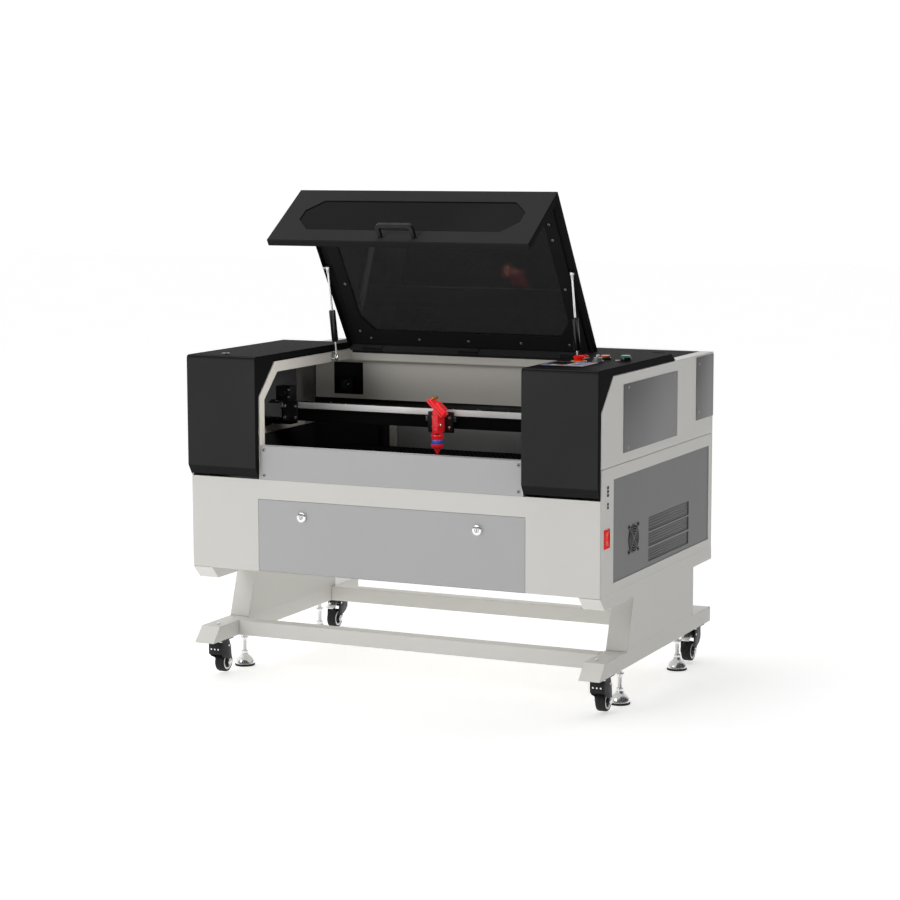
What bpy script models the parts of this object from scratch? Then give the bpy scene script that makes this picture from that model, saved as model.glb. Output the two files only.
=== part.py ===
"""Floor-standing CO2 laser cutter with an open, gas-strut lid.

Units are metres. +Z is up, the operator stands at -Y, and the origin is on the
floor under the middle of the machine. The lid is stored open.
"""
from math import atan2, cos, hypot, pi, radians, sin

import bmesh
import bpy
from mathutils import Matrix, Vector

# ---------------------------------------------------------------- driving sizes
HALF_WIDTH = 0.580            # outer side walls
FRONT = -0.4145               # front face of the lower cabinet
REAR = 0.4335                 # rear end of the stand's top rails
BODY_REAR = 0.4315            # rear wall; its screw heads reach the rails' end
HOOD_FRONT = -0.4335          # the hoods and the closed lid stand proud of the cabinet
SHEET = 0.0025                # body sheet thickness
THIN = 0.002                  # hood and lid sheet thickness
GAP = 0.0003                  # clearance between touching pieces
MERGE = 0.000002              # points closer than this are one
SMOOTH_ANGLE = radians(35)    # shallower edges of round pieces are shaded smooth

CABINET_BOTTOM = 0.3105
CABINET_TOP = 0.6304
FRONT_TOP = 0.5540            # top of the lower front wall
BODY_TOP = 0.8550             # top of the upper body
HOOD_TOP = 0.8757
CHAMBER_HALF = 0.3712         # inner face of the side frames
FRAME_SHEET = 0.003

BEAM_BOTTOM = 0.1019          # foot beams
BEAM_TOP = 0.1422
BEAM_INNER = 0.5220
TUBE_WALL = 0.0030

LID_OPEN = radians(56.5)      # stored opening angle
LID_HINGE = Vector((0.0, 0.0875, 0.8565))
LID_HALF = 0.3690
LID_TOP = 0.8762              # outer face of the closed lid
LID_FRONT = HOOD_FRONT
LID_EDGE = 0.6490             # lower edge of the closed lid's front panel
LID_REAR = 0.0855
LID_DEPTH = 0.0190            # height of its turned edges

STRUT_X = 0.3572
STRUT_FOOT = (-0.0087, 0.8385)          # y, z of the ball on the side frame
STRUT_HEAD_CLOSED = (-0.1865, 0.8630)   # y, z of the ball on the closed lid
STRUT_TUBE = 0.0890
STRUT_SHANK = 0.0480

BAY_WALL_Y = 0.1250           # front wall of the laser tube's bay
BAY_FLOOR = 0.7150
COVER_FRONT = 0.1285
COVER_REAR = 0.4145
COVER_HALF = 0.5440

RAIL_INNER, RAIL_OUTER = 0.5280, 0.5480
RAIL_TOP = 0.6520
GANTRY_FRONT = -0.1245
GANTRY_BACK = -0.0845
HEAD_X = 0.0232
HEAD_Y = -0.1695
NOZZLE_TIP = 0.6126
BED_TOP = 0.5810

DOOR_HALF = 0.3790
DOOR_BOTTOM = 0.3119
DOOR_TOP = 0.5014
LOCK_X = 0.2497
LOCK_Z = 0.4616

SERVICE_Y = (-0.3265, 0.4005)  # lower side panels
SERVICE_Z = (0.3376, 0.5970)
SCREW_HEAD = [(0, 0.0008), (0.0016, 0.0008), (0.0016, 0.0020), (0.0030, 0.0020),
              (0.0045, 0.0008), (0.0045, -0.0010), (0, -0.0010)]   # button head with a socket
PANEL_SCREWS = [(-0.2280, 0.6660), (-0.2280, 0.8178), (0.1090, 0.6660), (0.1090, 0.8178),
                (0.3110, 0.6995), (0.3110, 0.8305)]
CORNER_SCREW_Z = (0.6995, 0.8305)
FAN_Y, FAN_Z = -0.1798, 0.4282
SWITCH_Y, SWITCH_Z = -0.3725, 0.4547

CASTER_X = 0.5510
CASTER_FRONT_Y = -0.3360      # swivel axes
CASTER_REAR_Y = 0.3555
CASTER_TRAIL = 0.0230
WHEEL_RADIUS = 0.0275
WHEEL_Z = 0.0335
FORK_TOP = 0.0985
FOOT_X = 0.5510
FOOT_FRONT_Y = -0.1990
FOOT_REAR_Y = 0.2380

# name: (base colour, metallic, roughness)
MATERIALS = {
    "cream_paint": ((0.62, 0.60, 0.56), 0.0, 0.45),
    "grey_paint": ((0.42, 0.42, 0.42), 0.0, 0.50),
    "side_grey_paint": ((0.30, 0.30, 0.30), 0.0, 0.50),
    "black_paint": ((0.032, 0.032, 0.033), 0.0, 0.40),
    "cover_paint": ((0.06, 0.06, 0.06), 0.0, 0.50),
    "smoked_acrylic": ((0.03, 0.03, 0.035), 0.0, 0.08),
    "black_plastic": ((0.012, 0.012, 0.013), 0.0, 0.45),
    "tyre_rubber": ((0.010, 0.010, 0.011), 0.0, 0.60),
    "chrome": ((0.80, 0.80, 0.82), 1.0, 0.12),
    "aluminium": ((0.72, 0.71, 0.70), 1.0, 0.35),
    "red_anodised": ((0.62, 0.010, 0.012), 0.5, 0.35),
    "red_plastic": ((0.70, 0.015, 0.015), 0.0, 0.35),
    "orange_plastic": ((0.85, 0.22, 0.05), 0.0, 0.35),
    "green_plastic": ((0.03, 0.30, 0.16), 0.0, 0.35),
    "silver_panel": ((0.60, 0.62, 0.66), 0.2, 0.40),
    "tube_glass": ((0.75, 0.85, 0.88), 0.0, 0.05),
}


# ---------------------------------------------------------------- helpers
def clear_scene():
    for obj in list(bpy.data.objects):
        bpy.data.objects.remove(obj, do_unlink=True)


def make_collections():
    found = []
    for name in ("laser_cutter", "cutters"):
        collection = bpy.data.collections.new(name)
        bpy.context.scene.collection.children.link(collection)
        found.append(collection)
    return found


def make_material(name):
    colour, metallic, roughness = MATERIALS[name]
    material = bpy.data.materials.get(name)
    if material is None:
        material = bpy.data.materials.new(name)
        material.use_nodes = True
        shader = material.node_tree.nodes["Principled BSDF"]
        shader.inputs["Base Color"].default_value = (*colour, 1.0)
        shader.inputs["Metallic"].default_value = metallic
        shader.inputs["Roughness"].default_value = roughness
    return material


def finish_object(name, mesh, material, location=(0, 0, 0), parent=None):
    """A part with a material, or a hidden cutter when material is None."""
    obj = bpy.data.objects.new(name, mesh)
    if material is None:
        CUTTERS.objects.link(obj)
        obj.hide_render = True
        obj.display_type = "WIRE"
    else:
        PARTS.objects.link(obj)
        mesh.materials.append(make_material(material))
    obj.location = location
    obj.parent = parent
    return obj


def axle_empty(name, location, tilt=0.0):
    """An empty on a joint axis; tilt turns it about X."""
    empty = bpy.data.objects.new(name, None)
    PARTS.objects.link(empty)
    empty.location = location
    empty.rotation_euler = (tilt, 0.0, 0.0)
    return empty


def box(name, low, high, material=None, origin=(0, 0, 0), parent=None, bevel=0.0):
    """A block between two corners, with its object origin on the given point."""
    low, high, origin = Vector(low), Vector(high), Vector(origin)
    bm = bmesh.new()
    bmesh.ops.create_cube(bm, size=1.0)
    bmesh.ops.scale(bm, vec=high - low, verts=bm.verts)
    bmesh.ops.translate(bm, vec=(low + high) / 2 - origin, verts=bm.verts)
    mesh = bpy.data.meshes.new(name)
    bm.to_mesh(mesh)
    bm.free()
    obj = finish_object(name, mesh, material, (0, 0, 0) if parent else origin, parent)
    if bevel:
        round_edges(obj, bevel)
    return obj


def side_box(name, side, x_range, low, high, material=None, **options):
    """A block on one side of the machine; low and high are (y, z)."""
    x_low, x_high = sorted(side * x for x in x_range)
    return box(name, (x_low, *low), (x_high, *high), material, **options)


PLANES = {
    "YZ": Matrix(((0, 0, 1), (1, 0, 0), (0, 1, 0))),
    "XZ": Matrix(((1, 0, 0), (0, 0, -1), (0, 1, 0))),
    "XY": Matrix.Identity(3),
}


def plate(name, loops, span, plane, material=None, origin=(0, 0, 0), parent=None, bevel=0.0):
    """A flat outline with optional holes, extruded over span along the plane's normal axis."""
    low, high = sorted(span)
    curve = bpy.data.curves.new(name, "CURVE")
    curve.dimensions = "2D"
    curve.fill_mode = "BOTH"
    curve.extrude = (high - low) / 2
    for loop in loops:
        spline = curve.splines.new("POLY")
        spline.points.add(len(loop) - 1)
        for point, (u, v) in zip(spline.points, loop):
            point.co = (u, v, 0.0, 1.0)
        spline.use_cyclic_u = True
    guide = bpy.data.objects.new(name, curve)
    CUTTERS.objects.link(guide)
    bpy.context.view_layer.update()
    evaluated = guide.evaluated_get(bpy.context.evaluated_depsgraph_get())
    mesh = bpy.data.meshes.new_from_object(evaluated)
    bpy.data.objects.remove(guide, do_unlink=True)
    bm = bmesh.new()
    bm.from_mesh(mesh)
    bmesh.ops.remove_doubles(bm, verts=bm.verts, dist=MERGE)
    if len(loops) == 1:
        bmesh.ops.dissolve_limit(bm, angle_limit=0.001, verts=bm.verts, edges=bm.edges)
    turn = PLANES[plane].to_4x4()
    centre = (low + high) / 2
    normal = Vector({"YZ": (1, 0, 0), "XZ": (0, 1, 0), "XY": (0, 0, 1)}[plane])
    bmesh.ops.transform(bm, matrix=Matrix.Translation(normal * centre - Vector(origin)) @ turn,
                        verts=bm.verts)
    bmesh.ops.recalc_face_normals(bm, faces=bm.faces)
    bm.to_mesh(mesh)
    bm.free()
    obj = finish_object(name, mesh, material, (0, 0, 0) if parent else origin, parent)
    if bevel:
        round_edges(obj, bevel)
    return obj


def turned(name, profile, location, material=None, axis="Z", segments=20, parent=None, ring=False):
    """A turned piece: profile is (radius, height), down its outer side from top to bottom."""
    bm = bmesh.new()
    points = [bm.verts.new((radius, 0.0, height)) for radius, height in profile]
    edges = [bm.edges.new(pair) for pair in zip(points, points[1:])]
    if ring:
        edges.append(bm.edges.new((points[-1], points[0])))
    bmesh.ops.spin(bm, geom=points + edges, cent=(0, 0, 0), axis=(0, 0, 1), angle=2 * pi,
                   steps=segments, use_merge=True)
    bmesh.ops.remove_doubles(bm, verts=bm.verts, dist=MERGE)
    bmesh.ops.recalc_face_normals(bm, faces=bm.faces)
    mesh = bpy.data.meshes.new(name)
    bm.to_mesh(mesh)
    bm.free()
    mesh.shade_smooth()
    mesh.set_sharp_from_angle(angle=SMOOTH_ANGLE)
    obj = finish_object(name, mesh, material, location, parent)
    obj.rotation_euler = {"X": (0, pi / 2, 0), "Y": (-pi / 2, 0, 0), "Z": (0, 0, 0)}[axis]
    return obj


def bent_sheet(name, path, x_half, thickness, material):
    """Sheet metal bent along a path of (y, z) points, across the machine's width."""
    bm = bmesh.new()
    rows = [[bm.verts.new((x, y, z)) for x in (-x_half, x_half)] for y, z in path]
    for first, second in zip(rows, rows[1:]):
        bm.faces.new((first[0], first[1], second[1], second[0]))
    mesh = bpy.data.meshes.new(name)
    bm.to_mesh(mesh)
    bm.free()
    obj = finish_object(name, mesh, material)
    solid = obj.modifiers.new("Sheet", "SOLIDIFY")
    solid.thickness = thickness
    solid.offset = 0.0
    solid.use_even_offset = True
    return obj


def round_edges(obj, width, segments=2):
    bevel = obj.modifiers.new("Edges", "BEVEL")
    bevel.width = width
    bevel.segments = segments
    bevel.limit_method = "ANGLE"
    bevel.angle_limit = radians(30)


def combine(target, operation, others, solver="EXACT"):
    for other in others:
        cut = target.modifiers.new(operation.title(), "BOOLEAN")
        cut.operation = operation
        cut.solver = solver
        cut.object = other


def subtract(target, *others, solver="EXACT"):
    combine(target, "DIFFERENCE", others, solver)


def unite(target, *others):
    combine(target, "UNION", others)


def octagon(x_half, low, high, cut_x, cut_y):
    """An oblong with its four corners cut off."""
    return [(-x_half + cut_x, low), (x_half - cut_x, low), (x_half, low + cut_y),
            (x_half, high - cut_y), (x_half - cut_x, high), (-x_half + cut_x, high),
            (-x_half, high - cut_y), (-x_half, low + cut_y)]


def oblong(u_range, v_range):
    (u0, u1), (v0, v1) = u_range, v_range
    return [(u0, v0), (u1, v0), (u1, v1), (u0, v1)]


def circle(u, v, radius, count):
    return [(u + radius * cos(2 * pi * i / count), v + radius * sin(2 * pi * i / count))
            for i in range(count)]


def arc(u, v, radius, start, end, steps):
    """Points on an arc between two angles in degrees."""
    angles = [radians(start + (end - start) * i / steps) for i in range(steps + 1)]
    return [(u + radius * cos(a), v + radius * sin(a)) for a in angles]


def side_name(side):
    return "left" if side < 0 else "right"


# ---------------------------------------------------------------- stand
def build_stand():
    """Welded stand of open-ended box sections; the legs carry the cabinet on top rails."""
    rail_bottom = 0.2768
    top = CABINET_BOTTOM - GAP
    wall = TUBE_WALL
    for side in (-1, 1):
        name = side_name(side)
        leg = [(FRONT, top), (-0.3822, rail_bottom), (-0.1799, rail_bottom),
               (-0.2253, BEAM_TOP + GAP), (0.2839, BEAM_TOP + GAP), (0.2839, rail_bottom),
               (REAR, rail_bottom), (REAR, top)]
        leg_post = plate(f"leg_{name}", [leg], (side * BEAM_INNER, side * HALF_WIDTH), "YZ",
                         "cream_paint")
        inside = (side * (BEAM_INNER + wall), side * (HALF_WIDTH - wall))
        hollow = [(FRONT + 0.0100, top + 0.01), (-0.3795, rail_bottom + wall),
                  (-0.1755, rail_bottom + wall), (-0.2205, BEAM_TOP + GAP + wall),
                  (0.2839 - wall, BEAM_TOP + GAP + wall), (0.2839 - wall, rail_bottom + wall),
                  (REAR - wall, rail_bottom + wall), (REAR - wall, top + 0.01)]
        subtract(leg_post, plate(f"leg_hollow_{name}", [hollow], inside, "YZ"), solver="MANIFOLD")
        round_edges(leg_post, 0.0012)
        beam = plate(f"foot_beam_{name}",
                     [[(-0.4146, BEAM_BOTTOM), (0.4294, BEAM_BOTTOM), (0.4294, BEAM_TOP),
                       (-0.3767, BEAM_TOP)]],
                     (side * BEAM_INNER, side * HALF_WIDTH), "YZ", "cream_paint", bevel=0.0012)
        subtract(beam, side_box(f"beam_hollow_{name}", side,
                                (BEAM_INNER + wall, HALF_WIDTH - wall),
                                (-0.3600, BEAM_BOTTOM + wall), (0.4400, BEAM_TOP - wall)))
        for y in (FOOT_FRONT_Y, FOOT_REAR_Y):
            bore = turned(f"foot_bore_{name}", [(0, 0.12), (0.0068, 0.12), (0.0068, 0.09),
                                                (0, 0.09)],
                          (side * FOOT_X, y, 0), segments=12)
            subtract(beam, bore)
    beam_half = BEAM_INNER - GAP
    for name, y_low, y_high in (("front", -0.2795, -0.2395), ("rear", 0.2580, 0.2980)):
        beam = box(f"cross_beam_{name}", (-beam_half, y_low, BEAM_BOTTOM),
                   (beam_half, y_high, BEAM_TOP), "cream_paint", bevel=0.0012)
        subtract(beam, box(f"cross_hollow_{name}", (-0.60, y_low + wall, BEAM_BOTTOM + wall),
                           (0.60, y_high - wall, BEAM_TOP - wall)))


def build_caster(name, x, y, trail):
    """A swivel caster with a brake; trail is the wheel's offset along Y."""
    way = 1 if trail > 0 else -1
    half, cheek = 0.0200, 0.0165
    fork_outline = [(y - way * 0.0240, FORK_TOP), (y + way * 0.0240, FORK_TOP),
                    (y + trail + way * 0.0110, WHEEL_Z + 0.006),
                    (y + trail + way * 0.0070, WHEEL_Z - 0.009),
                    (y + trail - way * 0.0070, WHEEL_Z - 0.009),
                    (y - way * 0.0100, 0.0560), (y - way * 0.0240, 0.0760)]
    fork = plate(f"caster_fork_{name}", [fork_outline], (x - half, x + half), "YZ",
                 "black_plastic", origin=(x, y, FORK_TOP))
    well_low, well_high = sorted((y - way * 0.0215, y + way * 0.0800))
    well = box(f"wheel_well_{name}", (x - cheek, well_low, -0.02), (x + cheek, well_high, 0.0900))
    axle = turned(f"axle_{name}", [(0, 0.0235), (0.0065, 0.0235), (0.0065, 0.0185),
                                   (0.0035, 0.0180), (0.0035, -0.0180), (0.0065, -0.0185),
                                   (0.0065, -0.0235), (0, -0.0235)],
                  (x, y + trail, WHEEL_Z), axis="X", segments=10)
    subtract(fork, well)
    unite(fork, axle)
    tyre = WHEEL_RADIUS
    turned(f"caster_wheel_{name}",
           [(0.0040, 0.0135), (0.0090, 0.0135), (0.0100, 0.0105), (0.0190, 0.0105),
            (0.0200, 0.0130), (0.0235, 0.0130), (tyre, 0.0095), (tyre, -0.0095),
            (0.0235, -0.0130), (0.0200, -0.0130), (0.0190, -0.0105), (0.0100, -0.0105),
            (0.0090, -0.0135), (0.0040, -0.0135)],
           (x, y + trail, WHEEL_Z), "tyre_rubber", axis="X", segments=22, ring=True)
    pivot_y, pivot_z = y + way * 0.0180, 0.0800
    pedal = [(pivot_y - way * 0.004, pivot_z - 0.004), (pivot_y + way * 0.012, pivot_z - 0.0035),
             (pivot_y + way * 0.041, pivot_z - 0.0135), (pivot_y + way * 0.042, pivot_z - 0.0105),
             (pivot_y + way * 0.012, pivot_z + 0.0035), (pivot_y - way * 0.004, pivot_z + 0.004)]
    plate(f"caster_brake_{name}", [pedal], (x - 0.0130, x + 0.0130), "YZ", "chrome",
          origin=(x, pivot_y, pivot_z))


def build_leveling_foot(name, x, y):
    pad = [(0, 0.1150), (0.0060, 0.1150), (0.0060, 0.0830), (0.0105, 0.0830), (0.0105, 0.0750),
           (0.0060, 0.0750), (0.0060, 0.0420), (0.0105, 0.0420), (0.0105, 0.0340),
           (0.0120, 0.0300), (0.0190, 0.0240), (0.0250, 0.0160), (0.0270, 0.0090),
           (0.0275, 0.0), (0, 0.0)]
    turned(f"leveling_foot_{name}", pad, (x, y, 0.0), "chrome", segments=16)


def build_running_gear():
    for side in (-1, 1):
        for end, swivel_y, trail, foot_y in (
                ("front", CASTER_FRONT_Y, CASTER_TRAIL, FOOT_FRONT_Y),
                ("rear", CASTER_REAR_Y, -CASTER_TRAIL, FOOT_REAR_Y)):
            name = f"{end}_{side_name(side)}"
            build_caster(name, side * CASTER_X, swivel_y, trail)
            build_leveling_foot(name, side * FOOT_X, foot_y)


# ---------------------------------------------------------------- body
def build_lower_cabinet():
    inner = HALF_WIDTH - SHEET
    cabinet = box("lower_cabinet", (-HALF_WIDTH, FRONT, CABINET_BOTTOM),
                  (HALF_WIDTH, BODY_REAR, CABINET_TOP), "cream_paint", bevel=0.0020)
    hollow = box("cabinet_hollow", (-inner, FRONT + SHEET, CABINET_BOTTOM + SHEET),
                 (inner, BODY_REAR - SHEET, CABINET_TOP + 0.05))
    front_cut = box("front_cut", (-0.70, FRONT - 0.05, FRONT_TOP),
                    (0.70, FRONT + SHEET + 0.0010, CABINET_TOP + 0.05))
    door_gap = 0.0008
    door_cut = box("door_cut", (-DOOR_HALF - door_gap, FRONT - 0.01, DOOR_BOTTOM - door_gap),
                   (DOOR_HALF + door_gap, FRONT + SHEET + 0.0010, DOOR_TOP + door_gap))
    (y_low, y_high), (z_low, z_high) = SERVICE_Y, SERVICE_Z
    service_cut = box("service_cut", (-0.70, y_low - 0.0005, z_low - 0.0005),
                      (0.70, y_high + 0.0005, z_high + 0.0005))
    switch_cut = box("switch_cut", (HALF_WIDTH - 0.01, SWITCH_Y - 0.0165, SWITCH_Z - 0.0215),
                     (HALF_WIDTH + 0.01, SWITCH_Y + 0.0165, SWITCH_Z + 0.0215))
    subtract(cabinet, hollow, front_cut, door_cut, service_cut, switch_cut)


def build_upper_body():
    inner = HALF_WIDTH - SHEET
    bottom = CABINET_TOP + GAP
    outline = [(FRONT + 0.0015, bottom), (BODY_REAR, bottom), (BODY_REAR, BODY_TOP),
               (-0.3330, BODY_TOP), (FRONT + 0.0015, 0.7700)]
    body = plate("upper_body", [outline], (-HALF_WIDTH, HALF_WIDTH), "YZ", "cream_paint",
                 bevel=0.0020)
    hollow = box("body_hollow", (-inner, -0.50, bottom - 0.05),
                 (inner, BODY_REAR - SHEET, BODY_TOP - SHEET))
    cover_hole = box("cover_hole", (-COVER_HALF - 0.001, -0.50, bottom - 0.05),
                     (COVER_HALF + 0.001, COVER_REAR + 0.001, BODY_TOP + 0.05))
    subtract(body, hollow, cover_hole)
    screws = []
    for side in (-1, 1):
        for y, z in PANEL_SCREWS:
            screws.append(turned("panel_screw", SCREW_HEAD, (side * HALF_WIDTH, y, z),
                                 axis="X", segments=12))
        for z in CORNER_SCREW_Z:
            screws.append(turned("rear_screw", SCREW_HEAD, (side * 0.5500, BODY_REAR, z),
                                 axis="Y", segments=12))
    for screw in screws:
        if screw.name.startswith("panel_screw") and screw.location.x < 0:
            screw.rotation_euler.y *= -1
    unite(body, *screws)


def build_hood(side):
    """Bent cover over one end of the machine, open at the chamber side."""
    name = f"hood_{side_name(side)}"
    x_in, x_out = 0.3752, HALF_WIDTH
    radius = 0.009
    corner = arc(HOOD_FRONT + radius, HOOD_TOP - radius, radius, 180, 90, 4)
    band = [(FRONT, 0.5543), (HOOD_FRONT, 0.5845)] + corner + [
        (0.0910, HOOD_TOP), (0.1242, BODY_TOP + 0.0006), (-0.3330, BODY_TOP + 0.0006),
        (FRONT + 0.0012, 0.7705)]
    hood = plate(name, [band], (side * x_in, side * x_out), "YZ", "black_paint", bevel=0.0025)
    inner_corner = arc(HOOD_FRONT + radius, HOOD_TOP - radius, radius - THIN, 180, 90, 4)
    hollow = [(FRONT + 0.0006, 0.5520), (HOOD_FRONT + THIN, 0.5852)] + inner_corner + [
        (0.0900, HOOD_TOP - THIN), (0.1180, BODY_TOP + 0.0008), (0.1180, 0.8000), (-0.3200, 0.8000),
        (-0.3800, 0.7500), (-0.3800, 0.5520)]
    cavity = plate(f"{name}_hollow", [hollow], (side * (x_in + THIN), side * (x_out - THIN)), "YZ")
    subtract(hood, cavity)
    if side > 0:
        for x, y, radius in CONTROL_HOLES:
            subtract(hood, turned("control_hole", [(0, 0.9), (radius, 0.9), (radius, 0.85),
                                                   (0, 0.85)], (x, y, 0), segments=12))


def build_inner_frame(side):
    """Upright sheet that rims the lid opening on one side."""
    outline = [(-0.4165, FRONT_TOP + 0.0006), (-0.3905, FRONT_TOP + 0.0006), (-0.3905, 0.7610),
               (-0.3200, 0.8285), (0.1018, 0.8285), (0.1018, 0.8560), (-0.3330, 0.8560),
               (-0.4165, 0.7715)]
    plate(f"inner_frame_{side_name(side)}", [outline],
          (side * CHAMBER_HALF, side * (CHAMBER_HALF + FRAME_SHEET)), "YZ", "cream_paint")


def build_front_strip():
    """Fixed front rail of the opening, with a turned-in top edge."""
    path = [(FRONT + 0.0010, FRONT_TOP + GAP), (FRONT + 0.0010, 0.6415), (FRONT + 0.0220, 0.6415)]
    bent_sheet("front_strip", path, CHAMBER_HALF - 0.0007, THIN, "grey_paint")


def build_tube_bay():
    """Bent rear wall: hinge rail, bay wall with the mirror window, bay floor, chamber wall."""
    lip = 0.1030
    lower_wall = 0.1535
    path = [(lip, 0.8250), (lip, 0.8520), (BAY_WALL_Y, 0.8520), (BAY_WALL_Y, BAY_FLOOR),
            (lower_wall, BAY_FLOOR), (lower_wall, 0.5560)]
    wall = bent_sheet("tube_bay_wall", path, 0.4950, THIN, "cream_paint")
    window = box("mirror_window", (-0.4370, BAY_WALL_Y - 0.01, 0.7260),
                 (-0.3450, BAY_WALL_Y + 0.01, 0.8160))
    subtract(wall, window)
    end = [(0, 0.520), (0.008, 0.520), (0.008, 0.490), (0.0200, 0.490), (0.0200, 0.450),
           (0.0275, 0.450)]
    profile = end + [(radius, -height) for radius, height in reversed(end)]
    turned("laser_tube", profile, (0, 0.2700, 0.7900), "tube_glass", axis="X", segments=20)


def build_y_rail(side):
    """Rail on a flange welded to the side wall; the gantry's runner rides above it."""
    low, high = 0.6340, 0.6370
    outline = [(0.5150, low), (0.5768, low), (0.5768, high), (RAIL_OUTER, high),
               (RAIL_OUTER, RAIL_TOP), (RAIL_INNER, RAIL_TOP), (RAIL_INNER, high), (0.5150, high)]
    plate(f"y_rail_{side_name(side)}", [[(side * x, z) for x, z in outline]], (-0.4000, 0.1200),
          "XZ", "cream_paint")


def build_service_panel(side):
    """Lower side panel, set back in its opening; the right one has vents and the fan's hole."""
    loops = [oblong(SERVICE_Y, SERVICE_Z)]
    if side > 0:
        for low, high in ((0.4289, 0.4658), (0.3894, 0.4240), (0.3500, 0.3830)):
            loops.append(oblong((-0.0715, 0.2415), (low, high)))
        loops.append(circle(FAN_Y, FAN_Z, 0.0370, 24))
    face = HALF_WIDTH - 0.0015
    span = (side * (face - 0.0020), side * face)
    plate(f"service_panel_{side_name(side)}", loops, span, "YZ", "side_grey_paint")


def build_body():
    build_lower_cabinet()
    build_upper_body()
    build_front_strip()
    build_tube_bay()
    for side in (-1, 1):
        build_hood(side)
        build_inner_frame(side)
        build_y_rail(side)
        build_service_panel(side)


def build_doors():
    hinge = (0.0, FRONT, DOOR_BOTTOM)
    door = box("front_door", (-DOOR_HALF, FRONT, DOOR_BOTTOM),
               (DOOR_HALF, FRONT + 0.0022, DOOR_TOP), "grey_paint", origin=hinge)
    for side in (-1, 1):
        name = side_name(side)
        spot = (side * LOCK_X, FRONT, LOCK_Z)
        hole = turned(f"lock_hole_{name}", [(0, 0.02), (0.0105, 0.02), (0.0105, -0.02), (0, -0.02)],
                      spot, axis="Y", segments=16)
        subtract(door, hole)
        lock = turned(f"door_lock_{name}",
                      [(0, 0.0140), (0.0100, 0.0140), (0.0100, -GAP), (0.0135, -GAP),
                       (0.0135, -0.0050), (0.0120, -0.0065), (0, -0.0065)],
                      spot, "chrome", axis="Y", segments=20)
        cam = box(f"cam_{name}", (spot[0] - 0.007, FRONT + 0.0090, LOCK_Z - 0.006),
                  (spot[0] + 0.007, FRONT + 0.0115, LOCK_Z + 0.0365))
        unite(lock, cam)
    cover = box("rear_top_cover", (-COVER_HALF, COVER_FRONT, BODY_TOP - 0.0022),
                (COVER_HALF, COVER_REAR, BODY_TOP), "cover_paint",
                origin=(0.0, COVER_FRONT, BODY_TOP))
    slot = box("cover_slot", (0.4400, 0.3220, BODY_TOP - 0.02), (0.4760, 0.3360, BODY_TOP + 0.02))
    subtract(cover, slot)


# ---------------------------------------------------------------- lid
def build_lid():
    """The lid is drawn closed and its hinge empty opens it."""
    hinge = axle_empty("lid_hinge", LID_HINGE, -LID_OPEN)
    inner_z = LID_TOP - LID_DEPTH
    inner_y = LID_FRONT + LID_DEPTH

    def lid_plate(name, loops, span, plane, material=None, bevel=0.0):
        return plate(name, loops, span, plane, material, origin=LID_HINGE, parent=hinge,
                     bevel=bevel)

    tray = [(LID_FRONT, LID_EDGE), (LID_FRONT, LID_TOP), (LID_REAR, LID_TOP), (LID_REAR, inner_z),
            (inner_y, inner_z), (inner_y, LID_EDGE)]
    shell = lid_plate("lid_shell", [tray], (-LID_HALF, LID_HALF), "YZ", "black_paint",
                      bevel=0.0015)
    hollow = [(LID_FRONT + THIN, LID_EDGE + THIN), (LID_FRONT + THIN, LID_TOP - THIN),
              (LID_REAR - THIN, LID_TOP - THIN), (LID_REAR - THIN, inner_z - 0.02),
              (inner_y + 0.02, inner_z - 0.02), (inner_y + 0.02, LID_EDGE + THIN)]
    cavity = lid_plate("lid_hollow", [hollow], (-LID_HALF + THIN, LID_HALF - THIN), "YZ")
    top_window = octagon(0.3100, -0.3820, 0.0300, 0.0350, 0.0500)
    front_window = octagon(0.3130, 0.6975, 0.8275, 0.0400, 0.0440)
    top_cut = lid_plate("top_window_cut", [top_window], (LID_TOP - 0.01, LID_TOP + 0.01), "XY")
    front_cut = lid_plate("front_window_cut", [front_window],
                          (LID_FRONT - 0.01, LID_FRONT + 0.01), "XZ")
    subtract(shell, cavity, top_cut, front_cut)
    sheet_low = LID_TOP - THIN - GAP - 0.003
    lid_plate("lid_window_top", [octagon(0.3220, -0.3940, 0.0420, 0.0350, 0.0500)],
              (sheet_low, sheet_low + 0.003), "XY", "smoked_acrylic")
    sheet_front = LID_FRONT + THIN + GAP
    lid_plate("lid_window_front", [octagon(0.3250, 0.6855, 0.8395, 0.0400, 0.0440)],
              (sheet_front, sheet_front + 0.003), "XZ", "smoked_acrylic")
    build_handle(hinge)


def build_handle(hinge):
    """Bow handle below the front window; its feet bear on the front panel."""
    reach, half, z = 0.0400, 0.0525, 0.6700
    foot = LID_FRONT - GAP
    bend = 0.012
    bow = ([(-half, foot)] + arc(-half + bend, foot - reach + bend, bend, 180, 270, 4)
           + arc(half - bend, foot - reach + bend, bend, 270, 360, 4) + [(half, foot)])
    inner = half - 0.010
    hollow = ([(inner, foot)] + arc(inner - 0.006, foot - reach + 0.016, 0.006, 0, -90, 3)
              + arc(-inner + 0.006, foot - reach + 0.016, 0.006, 270, 180, 3) + [(-inner, foot)])
    plate("lid_handle", [bow + hollow], (z - 0.006, z + 0.006), "XY", "black_plastic",
          origin=LID_HINGE, parent=hinge, bevel=0.0020)


def turn_open(y, z):
    """Where a point of the closed lid is when the lid is open."""
    dy, dz = y - LID_HINGE.y, z - LID_HINGE.z
    return (LID_HINGE.y + dy * cos(LID_OPEN) + dz * sin(LID_OPEN),
            LID_HINGE.z - dy * sin(LID_OPEN) + dz * cos(LID_OPEN))


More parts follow.
